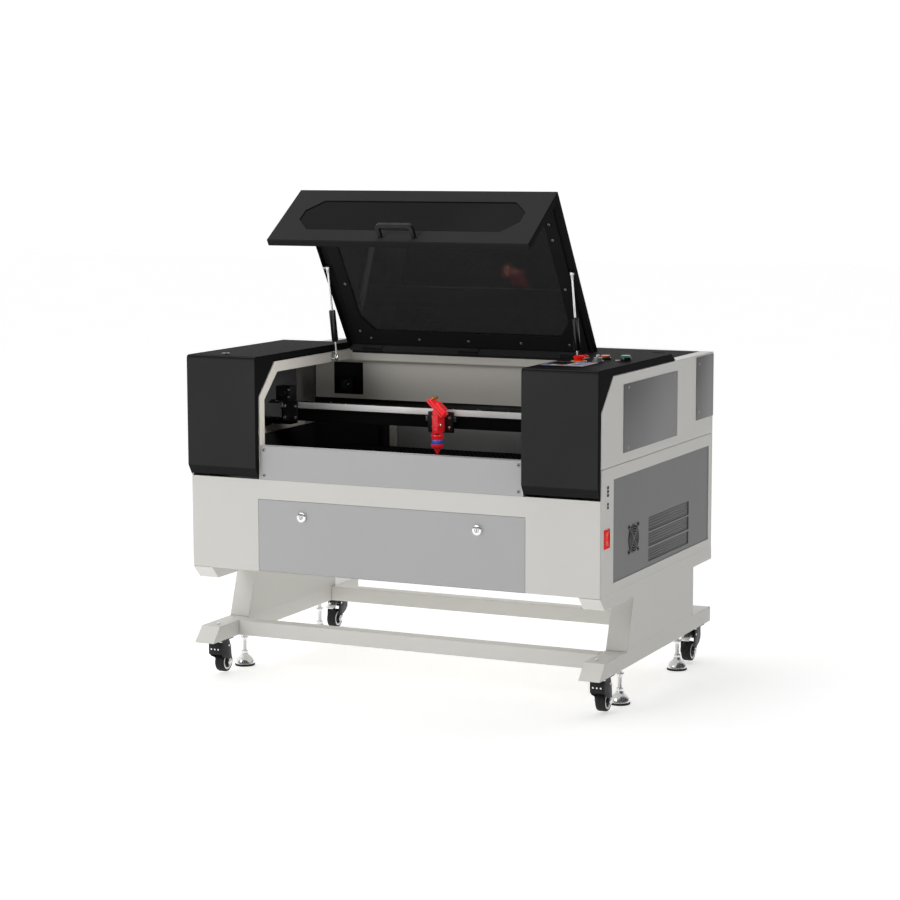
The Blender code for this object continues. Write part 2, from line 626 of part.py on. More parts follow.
def build_strut(side):
    """Gas strut: its tube pivots on the side frame, its rod reaches the lid."""
    name = side_name(side)
    foot_y, foot_z = STRUT_FOOT
    head_y, head_z = turn_open(*STRUT_HEAD_CLOSED)
    length = hypot(head_y - foot_y, head_z - foot_z)
    tilt = atan2(-(head_y - foot_y), head_z - foot_z)
    x = side * STRUT_X
    pivot = axle_empty(f"strut_pivot_{name}", (x, foot_y, foot_z), tilt)
    top = STRUT_SHANK + STRUT_TUBE
    bore = 0.0034
    tube = [(bore, top), (0.0070, top), (0.0090, top - 0.003), (0.0090, STRUT_SHANK + 0.004),
            (0.0065, STRUT_SHANK), (0.0030, STRUT_SHANK - 0.002), (0.0030, 0.0070),
            (0.0060, 0.0040), (0.0060, -0.0040), (0.0030, -0.0065), (0.0, -0.0065),
            (0.0, STRUT_SHANK + 0.006), (bore, STRUT_SHANK + 0.006)]
    turned(f"strut_tube_{name}", tube, (0, 0, 0), "black_plastic", segments=14, parent=pivot,
           ring=True)
    rod_low = top - 0.006
    rod = [(0, length + 0.0060), (0.0035, length + 0.0055), (0.0055, length + 0.0025),
           (0.0055, length - 0.0040), (0.0030, length - 0.0080), (0.0030, rod_low), (0, rod_low)]
    turned(f"strut_rod_{name}", rod, (0, 0, 0), "chrome", segments=12, parent=pivot)


# ---------------------------------------------------------------- motion system
def build_motion_system():
    span, beam_bottom, rail_front = 0.4680, 0.6760, GANTRY_FRONT - 0.0040
    beam = box("gantry_beam", (-span, GANTRY_FRONT, beam_bottom), (span, GANTRY_BACK, 0.7090),
               "black_paint", origin=(0, GANTRY_FRONT, beam_bottom))
    rail = box("gantry_rail_form", (-span, rail_front, 0.7050),
               (span, GANTRY_BACK + 0.0020, 0.7250))
    unite(beam, rail)
    for side in (-1, 1):
        bracket = side_box(f"truck_bracket_{side_name(side)}", side, (0.4400, RAIL_OUTER),
                           (GANTRY_FRONT + 0.0010, 0.6640), (GANTRY_BACK - 0.0010, 0.6780))
        runner = side_box(f"truck_runner_{side_name(side)}", side, (RAIL_INNER, RAIL_OUTER + 0.0010),
                          (GANTRY_FRONT - 0.0100, RAIL_TOP + 0.0015), (GANTRY_BACK + 0.0100, 0.6660))
        unite(beam, bracket, runner)

    front = rail_front - GAP
    mount = box("mirror_mount", (-0.4582, front - 0.0060, 0.6740), (-0.4142, front, 0.7300),
                "black_plastic", origin=(-0.4362, front, 0.7160))
    block = box("mirror_block", (-0.4800, front - 0.0060, 0.7285), (-0.4357, front + 0.030, 0.7690))
    arm = box("mirror_arm", (-0.4880, front - 0.0330, 0.7250), (-0.4550, front, 0.7300))
    unite(mount, block, arm)

    axis = (HEAD_X, HEAD_Y, 0.7000)
    carriage_front = front - 0.0120
    box("head_carriage", (HEAD_X - 0.0413, carriage_front, 0.6660), (HEAD_X + 0.0308, front, 0.7210),
        "black_plastic", origin=axis, bevel=0.0015)
    build_laser_head(axis, carriage_front - GAP)
    build_bed()


def build_laser_head(axis, back):
    """Body with the 45 degree mirror on top; the nozzle's shaft slides in its bore."""
    x, y, _ = axis
    half_x, half_y, bore_top = 0.0082, 0.0150, 0.7060
    shaft = 0.0059
    bore_radius = shaft + 0.0004
    head = box("laser_head", (x - half_x, y - half_y, 0.6680), (x + half_x, back, 0.7130),
               "red_anodised", origin=axis)
    bore = turned("focus_bore", [(0, bore_top), (bore_radius, bore_top), (bore_radius, 0.6600),
                                 (0, 0.6600)], (x, y, 0), segments=16)
    mirror = box("mirror_plate", (-0.0300, -0.0160, -0.0040), (0.0300, 0.0160, 0.0040))
    backing = box("mirror_back", (-0.0200, -0.0140, 0.0030), (0.0240, 0.0140, 0.0170))
    for piece in (mirror, backing):
        piece.location = (x - 0.0010, y, 0.7340)
        piece.rotation_euler = (0, radians(45), 0)
    neck = box("head_neck", (x - 0.0080, y - 0.0130, 0.7100), (x + 0.0080, y + 0.0130, 0.7300))
    subtract(head, bore)
    unite(head, neck, mirror, backing)
    tip = NOZZLE_TIP
    nozzle = [(0, 0.6900), (shaft, 0.6900), (shaft, 0.6640), (0.0170, 0.6640), (0.0170, 0.6580),
              (0.0145, 0.6570), (0.0150, 0.6500), (0.0150, 0.6400), (0.0165, 0.6390),
              (0.0165, 0.6320), (0.0110, 0.6290), (0.0090, 0.6290), (0.0025, tip), (0, tip)]
    turned("nozzle", nozzle, (x, y, 0), "red_anodised", segments=20)


def build_bed():
    """Honeycomb panel: a top skin stands for its fine cells, inside a frame open below."""
    half, low_y, high_y = 0.4000, -0.3650, 0.1480
    bottom = BED_TOP - 0.0200
    wall = 0.0020
    bed = box("bed", (-half, low_y, bottom), (half, high_y, BED_TOP), "black_paint",
              origin=(0, 0, BED_TOP), bevel=0.0010)
    subtract(bed, box("bed_hollow", (wall - half, low_y + wall, bottom - 0.0100),
                      (half - wall, high_y - wall, BED_TOP - 0.0015)))


# ---------------------------------------------------------------- controls
E_STOP = (0.4426, -0.2195, 0.0112)       # x, y and radius of the hole
KEY = (0.4900, -0.2095, 0.0092)
ORANGE = (0.4780, -0.1255, 0.0092)
GREEN = (0.5400, -0.1445, 0.0092)
CONTROL_HOLES = (E_STOP, KEY, ORANGE, GREEN)


def build_controls():
    def control(name, spot, cap, material):
        """A cap above the hood on a stem through its hole."""
        x, y, hole = spot
        stem = hole - 0.0007
        stem_end = HOOD_TOP - 0.0160
        profile = cap + [(stem, HOOD_TOP + 0.0052), (stem, stem_end), (0, stem_end)]
        return turned(name, profile, (x, y, 0), material, segments=18)

    top = HOOD_TOP
    control("e_stop", E_STOP, [(0, top + 0.0170), (0.0100, top + 0.0164), (0.0134, top + 0.0140),
                               (0.0140, top + 0.0105), (0.0120, top + 0.0085),
                               (0.0114, top + 0.0052)], "red_plastic")
    for name, spot, height, material in (("button_orange", ORANGE, 0.0105, "orange_plastic"),
                                         ("button_green", GREEN, 0.0140, "green_plastic")):
        control(name, spot, [(0, top + height), (0.0110, top + height),
                             (0.0122, top + height - 0.0012), (0.0122, top + 0.0052)], material)
    key = control("key_switch", KEY, [(0, top + 0.0120), (0.0100, top + 0.0120),
                                      (0.0110, top + 0.0105), (0.0110, top + 0.0052)], "chrome")
    bow = box("key_bow", (KEY[0] - 0.0013, KEY[1] - 0.0110, top + 0.0080),
              (KEY[0] + 0.0013, KEY[1] + 0.0110, top + 0.0190))
    unite(key, bow)
    box("control_panel", (0.3920, -0.3600, top + GAP), (0.5085, -0.2480, top + 0.0032),
        "silver_panel")
    paddle = [(HALF_WIDTH - 0.0100, SWITCH_Z - 0.0130), (HALF_WIDTH - 0.0010, SWITCH_Z - 0.0200),
              (HALF_WIDTH + 0.0015, SWITCH_Z - 0.0195), (HALF_WIDTH + 0.0002, SWITCH_Z),
              (HALF_WIDTH + 0.0015, SWITCH_Z + 0.0195), (HALF_WIDTH - 0.0010, SWITCH_Z + 0.0200),
              (HALF_WIDTH - 0.0100, SWITCH_Z + 0.0130)]
    plate("power_switch", [paddle], (SWITCH_Y - 0.0150, SWITCH_Y + 0.0150), "XZ", "red_plastic",
          origin=(HALF_WIDTH - 0.0050, SWITCH_Y, SWITCH_Z))


def build_fan():
    """Seven-bladed rotor behind the right service panel."""
    blades, hub, tip = 7, 0.0130, 0.0340
    outline = []
    for blade in range(blades):
        start = 2 * pi * blade / blades
        for radius, lead in ((hub, 0.00), (tip, 0.18), (tip, 0.62), (hub, 0.50)):
            angle = start + lead
            outline.append((FAN_Y + radius * cos(angle), FAN_Z + radius * sin(angle)))
    plate("cooling_fan", [outline], (0.5580, 0.5660), "YZ", "black_plastic",
          origin=(0.5620, FAN_Y, FAN_Z))


clear_scene()
PARTS, CUTTERS = make_collections()
build_stand()
build_running_gear()
build_body()
build_doors()
build_lid()
for strut_side in (-1, 1):
    build_strut(strut_side)
build_motion_system()
build_controls()
build_fan()
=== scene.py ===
"""Looks of the floor-standing laser cutter: paint, plastic, rubber, glass, screws and fittings.

Units are metres, in the frame's own axes: +Z up, the operator stands at -Y.
"""

from math import atan2, cos, pi, radians, sin

import bmesh
import bpy
from mathutils import Euler, Matrix, Vector


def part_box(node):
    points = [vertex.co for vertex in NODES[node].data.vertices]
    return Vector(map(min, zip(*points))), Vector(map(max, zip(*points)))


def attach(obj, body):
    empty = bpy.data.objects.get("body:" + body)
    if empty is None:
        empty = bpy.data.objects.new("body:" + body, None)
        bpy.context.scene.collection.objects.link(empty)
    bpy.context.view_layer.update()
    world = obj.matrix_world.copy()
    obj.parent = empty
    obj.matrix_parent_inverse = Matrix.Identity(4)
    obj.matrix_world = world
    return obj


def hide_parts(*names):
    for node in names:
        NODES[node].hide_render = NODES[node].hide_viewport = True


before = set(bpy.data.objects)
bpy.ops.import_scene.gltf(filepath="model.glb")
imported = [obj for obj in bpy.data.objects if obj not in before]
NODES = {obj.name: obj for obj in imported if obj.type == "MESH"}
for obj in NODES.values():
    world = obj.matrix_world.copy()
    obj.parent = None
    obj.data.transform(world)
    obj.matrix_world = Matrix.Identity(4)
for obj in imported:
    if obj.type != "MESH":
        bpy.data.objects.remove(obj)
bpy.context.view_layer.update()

SIDES = ((-1, "left"), (1, "right"))
SMOOTH_ANGLE = radians(32)
RIGHT, FORWARD, UP = (1, 0, 0), (0, -1, 0), (0, 0, 1)
GAP = 0.0003

HALF_WIDTH = 0.58
FRONT = -0.4145
HOOD_TOP = 0.8757
BODY_REAR = 0.4315
PANEL_SCREWS = ((-0.228, 0.666), (-0.228, 0.8178), (0.109, 0.666), (0.109, 0.8178),
                (0.311, 0.6995), (0.311, 0.8305))
CORNER_SCREW_Z = (0.6995, 0.8305)
SCREW_SIDE, SCREW_REAR = 0.58025, 0.43165
FAN_Y, FAN_Z = -0.1798, 0.4282
SWITCH_Y, SWITCH_Z = -0.3725, 0.4547
LOCK_X, LOCK_Z = 0.2497, 0.4616

CASTER_X = 0.551
SWIVEL_Y = {"front": -0.336, "rear": 0.3555}
FOOT_Y = {"front": -0.199, "rear": 0.238}
PEDAL_AHEAD, PEDAL_Z = 0.018, 0.08

TUBE_Y, TUBE_Z = 0.27, 0.79
GANTRY_FRONT = -0.1288
HEAD_X, HEAD_Y = 0.0232, -0.1695

LID_HINGE = Vector((0.0, 0.0875, 0.8565))
LID_OPEN = radians(56.5)
LID_INNER_Z, LID_INNER_Y = 0.8694, -0.4268
STRUT_FOOT_Y, STRUT_FOOT_Z = -0.0087, 0.8385
STRUT_BALL_Y, STRUT_BALL_Z = -0.1865, 0.863


# ---------------------------------------------------------------- materials
def fill(tree, socket, value):
    """Links an output to a socket, or sets the socket's own value."""
    if isinstance(value, bpy.types.NodeSocket):
        tree.links.new(value, socket)
    else:
        socket.default_value = value


def add_node(tree, kind, *values, operation=None, data_type=None, **named):
    """A node with its sockets filled in order, or by name with _ for a space."""
    node = tree.nodes.new(kind)
    if operation:
        node.operation = operation
    if data_type:
        node.data_type = data_type
    for index, value in enumerate(values):
        fill(tree, node.inputs[index], value)
    for socket, value in named.items():
        fill(tree, node.inputs[socket.replace("_", " ")], value)
    return node


def map_range(tree, value, start, end, low, high):
    """Takes start..end to low..high."""
    return add_node(tree, "ShaderNodeMapRange", Value=value, From_Min=start, From_Max=end,
                    To_Min=low, To_Max=high).outputs["Result"]


class Finish:
    """A node material on one Principled shader, in object space."""

    def __init__(self, name, colour, roughness, metallic=0.0):
        self.material = bpy.data.materials.new(name)
        self.material.use_nodes = True
        self.tree = self.material.node_tree
        self.shader = self.tree.nodes["Principled BSDF"]
        self.set("Metallic", metallic)
        self.colour, self.roughness = colour, roughness
        self.space = self.node("ShaderNodeTexCoord").outputs["Object"]
        self.normal = None

    def set(self, socket, value):
        """Gives one of the shader's sockets a value or a link."""
        fill(self.tree, self.shader.inputs[socket], value)

    def node(self, kind, *values, **named):
        """A node in this material."""
        return add_node(self.tree, kind, *values, **named)

    def math(self, operation, *values):
        """One step of arithmetic."""
        return self.node("ShaderNodeMath", *values, operation=operation).outputs["Value"]

    def noise(self, scale, detail=3.0, stretch=None):
        """Noise in object space; stretch draws it out along an axis."""
        space = self.space
        if stretch:
            space = self.node("ShaderNodeMapping", Vector=space, Scale=stretch).outputs["Vector"]
        return self.node("ShaderNodeTexNoise", Vector=space, Scale=scale,
                         Detail=detail).outputs["Fac"]

    def span(self, factor, low, high):
        """Spreads a noise's middle range over low..high."""
        return map_range(self.tree, factor, 0.3, 0.7, low, high)

    def tint(self, factor, spread):
        """Base colour that drifts between a darker and a lighter shade of itself."""
        dark = [max(c * (1 - spread), 0.0) for c in self.colour]
        light = [min(c * (1 + spread), 1.0) for c in self.colour]
        mix = self.node("ShaderNodeMix", data_type="RGBA", A=(*dark, 1.0), B=(*light, 1.0),
                        Factor=self.span(factor, 0.0, 1.0))
        self.set("Base Color", mix.outputs["Result"])

    def rough(self, factor, spread):
        """Roughness that varies around the finish's own."""
        low, high = self.roughness * (1 - spread), min(self.roughness * (1 + spread), 1.0)
        self.set("Roughness", self.span(factor, low, high))

    def use_normal(self, node):
        """Makes a node's normal the shader's, and the next bump's start."""
        self.normal = node.outputs["Normal"]
        self.set("Normal", self.normal)

    def bump(self, factor, strength, depth):
        """Fine relief, over the softened edges where there are any."""
        node = self.node("ShaderNodeBump", Strength=strength, Distance=depth, Height=factor)
        if self.normal:
            fill(self.tree, node.inputs["Normal"], self.normal)
        self.use_normal(node)

    def soft_edges(self, radius):
        """Edges that catch the light as if rounded."""
        node = self.node("ShaderNodeBevel", Radius=radius)
        node.samples = 3
        self.use_normal(node)

    def base_colour(self):
        """The output that now feeds the base colour."""
        return self.shader.inputs["Base Color"].links[0].from_socket

    def paint_face_shade(self, ramps):
        """Painted shade and light by the way a face is turned: ramps are (axis, start, end, low,
        high).
        """
        split = self.node("ShaderNodeSeparateXYZ",
                          self.node("ShaderNodeNewGeometry").outputs["Normal"])
        for axis, start, end, low, high in ramps:
            factor = map_range(self.tree, split.outputs[axis], start, end, low, high)
            scale = self.node("ShaderNodeVectorMath", self.base_colour(), operation="SCALE",
                              Scale=factor)
            self.set("Base Color", scale.outputs["Vector"])

    def plate_screws(self, side_limit, rear_limit, colour, metallic):
        """Screw heads that stand proud of the side and rear faces are bright metal."""
        split = self.node("ShaderNodeSeparateXYZ", self.space)
        width = self.math("ABSOLUTE", split.outputs["X"])
        mask = self.math("MAXIMUM", self.math("GREATER_THAN", width, side_limit),
                         self.math("GREATER_THAN", split.outputs["Y"], rear_limit))
        mix = self.node("ShaderNodeMix", data_type="RGBA", Factor=mask, A=self.base_colour(),
                        B=(*colour, 1.0))
        self.set("Base Color", mix.outputs["Result"])
        self.set("Metallic", self.math("MULTIPLY", mask, metallic))

    def glow(self, colour, strength):
        """Light of its own."""
        self.set("Emission Color", (*colour, 1.0))
        self.set("Emission Strength", strength)


def paint(name, colour, roughness=0.42, edge=0.0009, specular=0.5, spread=0.02, grain=0.35,
          faces=(), screws=False):
    """Powder coat: fine orange peel, slow shade drift, soft folded edges, and painted shade and
    light by face direction where faces are given.
    """
    finish = Finish(name, colour, roughness)
    if edge:
        finish.soft_edges(edge)
    finish.tint(finish.noise(2.4, 4.0), spread)
    finish.rough(finish.noise(420, 2.0), 0.18)
    finish.bump(finish.noise(950, 2.0), grain, 0.00012)
    finish.set("Specular IOR Level", specular)
    # Painted shade and light: faces scale the base colour by the way each face is turned.
    if faces:
        finish.paint_face_shade(faces)
    if screws:
        finish.plate_screws(SCREW_SIDE, SCREW_REAR, (0.4, 0.4, 0.41), 0.7)
    return finish.material


def plastic(name, colour, roughness=0.35, scale=1600, grain=0.25, coat=0.0, specular=0.5,
            glow=0.0):
    """Moulded plastic: spark-eroded grain and faint handling marks."""
    finish = Finish(name, colour, roughness)
    finish.soft_edges(0.0004)
    finish.tint(finish.noise(60, 3.0), 0.06)
    finish.rough(finish.noise(35, 4.0), 0.22)
    finish.bump(finish.noise(scale, 2.0), grain, 0.00006)
    finish.set("Coat Weight", coat)
    finish.set("Specular IOR Level", specular)
    # A glow on parts that are no lamp is painted light.
    if glow:
        finish.glow(colour, glow)
    return finish.material


def metal(name, colour, roughness, stretch=(1, 1, 1), scale=700, grain=0.15, spread=0.05,
          metallic=1.0):
    """Bare or plated metal with fine machining marks along one direction."""
    finish = Finish(name, colour, roughness, metallic)
    marks = finish.noise(scale, 3.0, stretch)
    finish.tint(finish.noise(18, 3.0), spread)
    finish.rough(marks, 0.3)
    finish.bump(marks, grain, 0.00005)
    return finish.material


def rubber(name, colour):
    """Matt, mottled rubber."""
    finish = Finish(name, colour, 0.72)
    finish.tint(finish.noise(160, 4.0), 0.25)
    finish.rough(finish.noise(220, 3.0), 0.15)
    finish.bump(finish.noise(900, 3.0), 0.5, 0.00015)
    finish.set("Specular IOR Level", 0.35)
    return finish.material


def smoked(name, alpha, specular, index):
    """Smoked acrylic sheet: dark, glossy, faintly wavy, partly clear."""
    finish = Finish(name, (0.012, 0.012, 0.013), 0.06)
    finish.tint(finish.noise(3.0, 2.0), 0.3)
    finish.rough(finish.noise(9.0, 4.0), 0.5)
    finish.bump(finish.noise(14.0, 1.0), 0.04, 0.0006)
    finish.set("Alpha", alpha)
    finish.set("Specular IOR Level", specular)
    finish.set("IOR", index)
    return finish.material


def glass(name):
    """Clear glass, faintly wavy."""
    finish = Finish(name, (0.9, 0.96, 0.97), 0.03)
    finish.tint(finish.noise(12, 2.0), 0.03)
    finish.bump(finish.noise(20.0, 1.0), 0.05, 0.0005)
    finish.set("Alpha", 0.35)
    finish.set("Coat Weight", 1.0)
    return finish.material


def honeycomb_metal(name):
    """Sooty thin foil of the bed's cells."""
    finish = Finish(name, (0.03, 0.03, 0.031), 0.5, metallic=0.6)
    finish.tint(finish.noise(45, 4.0), 0.5)
    finish.rough(finish.noise(300, 3.0), 0.3)
    finish.bump(finish.noise(600, 3.0), 0.3, 0.0001)
    return finish.material


def red_anodised(name):
    """Anodised aluminium with turned marks, and a painted glow of its own colour: the part is no
    lamp.
    """
    turned = (1, 1, 14)
    finish = Finish(name, (0.88, 0.01, 0.02), 0.35)
    finish.set("Coat Weight", 0.25)
    # Painted light: the head's red glows though it is no lamp.
    finish.glow((1.0, 0.035, 0.045), 0.16)
    finish.soft_edges(0.0005)
    finish.tint(finish.noise(40, 3.0), 0.07)
    finish.rough(finish.noise(500, 2.0, turned), 0.25)
    finish.bump(finish.noise(700, 2.0, turned), 0.12, 0.00005)
    return finish.material


# Painted shade: right-facing (+X) faces darkened. Painted light: the cream's upward-slanted faces
# lighter, with flat tops brought back to about their own colour.
PAINTED_SIDE_SHADE = (("X", 0.5, 0.9, 1.0, 0.92),)
CREAM = paint("cream_paint", (0.7, 0.69, 0.655),
              faces=PAINTED_SIDE_SHADE + (("Z", 0.55, 0.65, 1.0, 1.28), ("Z", 0.75, 0.85, 1.0, 0.78)))
BODY_CREAM = paint("body_cream_paint", (0.7, 0.69, 0.655), faces=PAINTED_SIDE_SHADE, screws=True)
GREY = paint("grey_paint", (0.47, 0.47, 0.472))
# The side panels' grey is a darker paint than the door's; it and the vent grey also hold about a
# tenth of painted side shade.
SIDE_GREY = paint("side_grey_paint", (0.161, 0.161, 0.162), specular=0.3)
VENT_GREY = paint("vent_grey_paint", (0.068, 0.068, 0.069), specular=0.3)
INNER_CREAM = paint("inner_cream_paint", (0.7, 0.672, 0.61))
# Painted shade and light on the black paint: undersides darker, upward slopes darker, faces just
# short of level lighter, flat tops darker and right-facing (+X) sides much darker.
BLACK = paint("black_paint", (0.037, 0.037, 0.0376), 0.5, specular=0.006, spread=0.1,
              faces=(("Z", -0.45, -0.12, 0.5, 1.0), ("Z", 0.12, 0.3, 1.0, 0.45),
                     ("Z", 0.68, 0.8, 1.0, 3.0), ("Z", 0.9, 0.98, 1.0, 0.3),
                     ("X", 0.5, 0.9, 1.0, 0.24)))
DARK_LINER = paint("dark_liner_paint", (0.018, 0.018, 0.018), 0.55, specular=0.2)
REAR_LINER = paint("rear_liner_paint", (0.3, 0.3, 0.298), 0.55, specular=0.2)
CAP_GREY = paint("cap_grey_paint", (0.62, 0.62, 0.622))
SIDE_LINER = paint("side_liner_paint", (0.16, 0.16, 0.166), 0.55, specular=0.2)
BLACK_PLASTIC = plastic("black_plastic", (0.011, 0.011, 0.012), 0.42, specular=0.25)
GLOSS_BLACK = plastic("gloss_black_plastic", (0.008, 0.008, 0.009), 0.2, grain=0.08)
# The red plastic glows: on the lit rocker paddle this is real, on the e-stop, reset cap and
# switch bezel it is painted light.
RED_PLASTIC = plastic("red_plastic", (0.9, 0.014, 0.01), 0.3, grain=0.1,
                      specular=0.06, glow=0.18)
ORANGE_PLASTIC = plastic("orange_plastic", (0.95, 0.19, 0.055), 0.3, grain=0.1, coat=0.3)
YELLOW_PLASTIC = plastic("yellow_plastic", (0.82, 0.48, 0.03), 0.35)
GREEN_PLASTIC = plastic("green_plastic", (0.04, 0.31, 0.2), 0.3, grain=0.1, coat=0.3)
WHITE_PLASTIC = plastic("white_plastic", (0.78, 0.78, 0.77), 0.38)
BLUE_PLASTIC = plastic("blue_plastic", (0.02, 0.07, 0.55), 0.32)
PINK_PLASTIC = plastic("pink_plastic", (0.62, 0.16, 0.24), 0.35)
KEY_RED = plastic("key_red_plastic", (0.5, 0.03, 0.03), 0.35)
KEY_GREEN = plastic("key_green_plastic", (0.05, 0.3, 0.12), 0.35)
SILVER_PANEL = plastic("silver_panel", (0.42, 0.44, 0.48), 0.38)
CHROME = metal("chrome", (0.88, 0.88, 0.89), 0.16, grain=0.05, metallic=0.85)
SATIN = metal("satin_steel", (0.36, 0.36, 0.37), 0.45, scale=400, metallic=0.6)
STEEL = metal("caster_steel", (0.7, 0.7, 0.71), 0.28, scale=300)
RAIL = metal("rail_aluminium", (0.97, 0.96, 0.94), 0.45, stretch=(1, 25, 25), scale=90,
             metallic=0.0)
GANTRY = paint("gantry_paint", (0.006, 0.006, 0.0064), 0.6, specular=0.02, spread=0.1)
BRASS = metal("brass", (0.46, 0.24, 0.07), 0.3, metallic=0.75)
RED = red_anodised("red_anodised")
BLUE_BAND = metal("blue_anodised", (0.05, 0.24, 0.95), 0.3, metallic=0.1)
TYRE = rubber("tyre_rubber", (0.014, 0.014, 0.015))
SOLE = rubber("sole_rubber", (0.02, 0.02, 0.021))
RIM = plastic("rim_white", (0.88, 0.88, 0.89), 0.34)
SMOKED = smoked("smoked_acrylic", 0.9, 0.5, 1.5)
SMOKED_FRONT = smoked("smoked_acrylic_front", 0.985, 0.14, 1.18)
TUBE_GLASS = glass("tube_glass")
HONEYCOMB = honeycomb_metal("honeycomb_metal")


# ---------------------------------------------------------------- shapes
def block(low, high, bevel=0.0, steps=2):
    """A box between two corners."""
    low, high = Vector(low), Vector(high)
    bm = bmesh.new()
    bmesh.ops.create_cube(bm, size=1.0)
    bmesh.ops.scale(bm, vec=high - low, verts=bm.verts)
    bmesh.ops.translate(bm, vec=(low + high) / 2, verts=bm.verts)
    if bevel:
        bmesh.ops.bevel(bm, geom=bm.edges[:], offset=bevel, segments=steps, affect="EDGES",
                        profile=0.5)
    return bm


def lathe(profile, segments=40, closed=False):
    """Turned about Z; profile is (radius, height) from top to bottom."""
    bm = bmesh.new()
    points = [bm.verts.new((radius, 0.0, height)) for radius, height in profile]
    edges = [bm.edges.new(pair) for pair in zip(points, points[1:])]
    if closed:
        edges.append(bm.edges.new((points[-1], points[0])))
    bmesh.ops.spin(bm, geom=points + edges, cent=(0, 0, 0), axis=(0, 0, 1), angle=2 * pi,
                   steps=segments, use_merge=True)
    bmesh.ops.remove_doubles(bm, verts=bm.verts, dist=1e-6)
    bmesh.ops.recalc_face_normals(bm, faces=bm.faces)
    return bm


PLANES = {
    "YZ": Matrix(((0, 0, 1), (1, 0, 0), (0, 1, 0))).to_4x4(),
    "XZ": Matrix(((1, 0, 0), (0, 0, -1), (0, 1, 0))).to_4x4(),
    "XY": Matrix.Identity(4),
}
NORMALS = {"YZ": Vector((1, 0, 0)), "XZ": Vector((0, 1, 0)), "XY": Vector((0, 0, 1))}


def slab(loops, span, plane="XY", bevel=0.0, steps=2):
    """A flat outline with optional holes, made solid over span along the plane's normal."""
    low, high = sorted(span)
    bm = bmesh.new()
    edges = []
    for loop in loops:
        points = [bm.verts.new((u, v, 0.0)) for u, v in loop]
        edges += [bm.edges.new(pair) for pair in zip(points, points[1:] + points[:1])]
    bmesh.ops.triangle_fill(bm, use_beauty=True, use_dissolve=False, edges=edges)
    bmesh.ops.dissolve_limit(bm, angle_limit=0.001, verts=bm.verts[:], edges=bm.edges[:])
    grown = bmesh.ops.extrude_face_region(bm, geom=bm.faces[:])
    moved = [part for part in grown["geom"] if isinstance(part, bmesh.types.BMVert)]
    bmesh.ops.translate(bm, vec=(0, 0, high - low), verts=moved)
    bmesh.ops.recalc_face_normals(bm, faces=bm.faces)
    if bevel:
        sharp = [edge for edge in bm.edges if edge.is_manifold and edge.calc_face_angle(0) > 0.5]
        bmesh.ops.bevel(bm, geom=sharp, offset=bevel, segments=steps, affect="EDGES",
                        profile=0.5)
    offset = Matrix.Translation(NORMALS[plane] * (high if plane == "XZ" else low))
    bmesh.ops.transform(bm, matrix=offset @ PLANES[plane], verts=bm.verts)
    return bm


def pad(x, y, half_x, half_y, low, high, bevel=0.0):
    """A box about a point seen from above, from one level to another."""
    return block((x - half_x, y - half_y, low), (x + half_x, y + half_y, high), bevel)


def flank(side, low, high, bevel=0.0):
    """A box given for the right side, or its mirror image on the left."""
    x_low, x_high = sorted((side * low[0], side * high[0]))
    return block((x_low, *low[1:]), (x_high, *high[1:]), bevel)


def oblong(u0, u1, v0, v1):
    """A rectangle's corners."""
    return [(u0, v0), (u1, v0), (u1, v1), (u0, v1)]


def centred(u, v, half_u, half_v):
    """A rectangle about a point."""
    return oblong(u - half_u, u + half_u, v - half_v, v + half_v)


def circle(u, v, radius, count=32, start=0.0):
    """Points around a centre."""
    return [(u + radius * cos(start + 2 * pi * i / count),
             v + radius * sin(start + 2 * pi * i / count)) for i in range(count)]


def octagon(half, low, high, cut_u, cut_v):
    """A rectangle about the middle with its corners cut."""
    right = [(half - cut_u, low), (half, low + cut_v), (half, high - cut_v), (half - cut_u, high)]
    return [(-half + cut_u, low)] + right + [(-half + cut_u, high), (-half, high - cut_v),
                                             (-half, low + cut_v)]


def shifted(u, v, way, points):
    """Points given from a centre, turned round where way is -1."""
    return [(u + way * du, v + dv) for du, dv in points]


def drum(radius, high, low):
    """Profile of a plain cylinder."""
    return [(0, high), (radius, high), (radius, low), (0, low)]


def disc(flat, edge, high, shoulder, low=0.0):
    """Profile of a cylinder with a chamfered top."""
    return [(0, high), (flat, high), (edge, shoulder), (edge, low), (0, low)]


def sleeve(outer, inner, high, low):
    """Profile of a tube."""
    return [(outer, high), (outer, low), (inner, low), (inner, high)]


def mirrored(half):
    """Profile of a ring, from its upper half."""
    return half + [(radius, -height) for radius, height in reversed(half)]


def at(x, y, z):
    """Moves a shape by x, y, z."""
    return Matrix.Translation((x, y, z))


def spun(angle, axis="Z"):
    """Turns a shape about an axis."""
    return Matrix.Rotation(angle, 4, axis)


def aim(point, direction):
    """Places a shape made about +Z at a point, facing a direction."""
    turn = Vector((0, 0, 1)).rotation_difference(Vector(direction).normalized())
    return Matrix.Translation(Vector(point)) @ turn.to_matrix().to_4x4()


def opened(point):
    """Where a point of the closed lid is when the lid is open."""
    turn = Matrix.Rotation(-LID_OPEN, 3, "X")
    return LID_HINGE + turn @ (Vector(point) - LID_HINGE)


def opened_direction(direction):
    """Which way a direction of the closed lid points when the lid is open."""
    return Matrix.Rotation(-LID_OPEN, 3, "X") @ Vector(direction)


OPEN_LID = at(*LID_HINGE) @ spun(-LID_OPEN, "X") @ at(*-LID_HINGE)


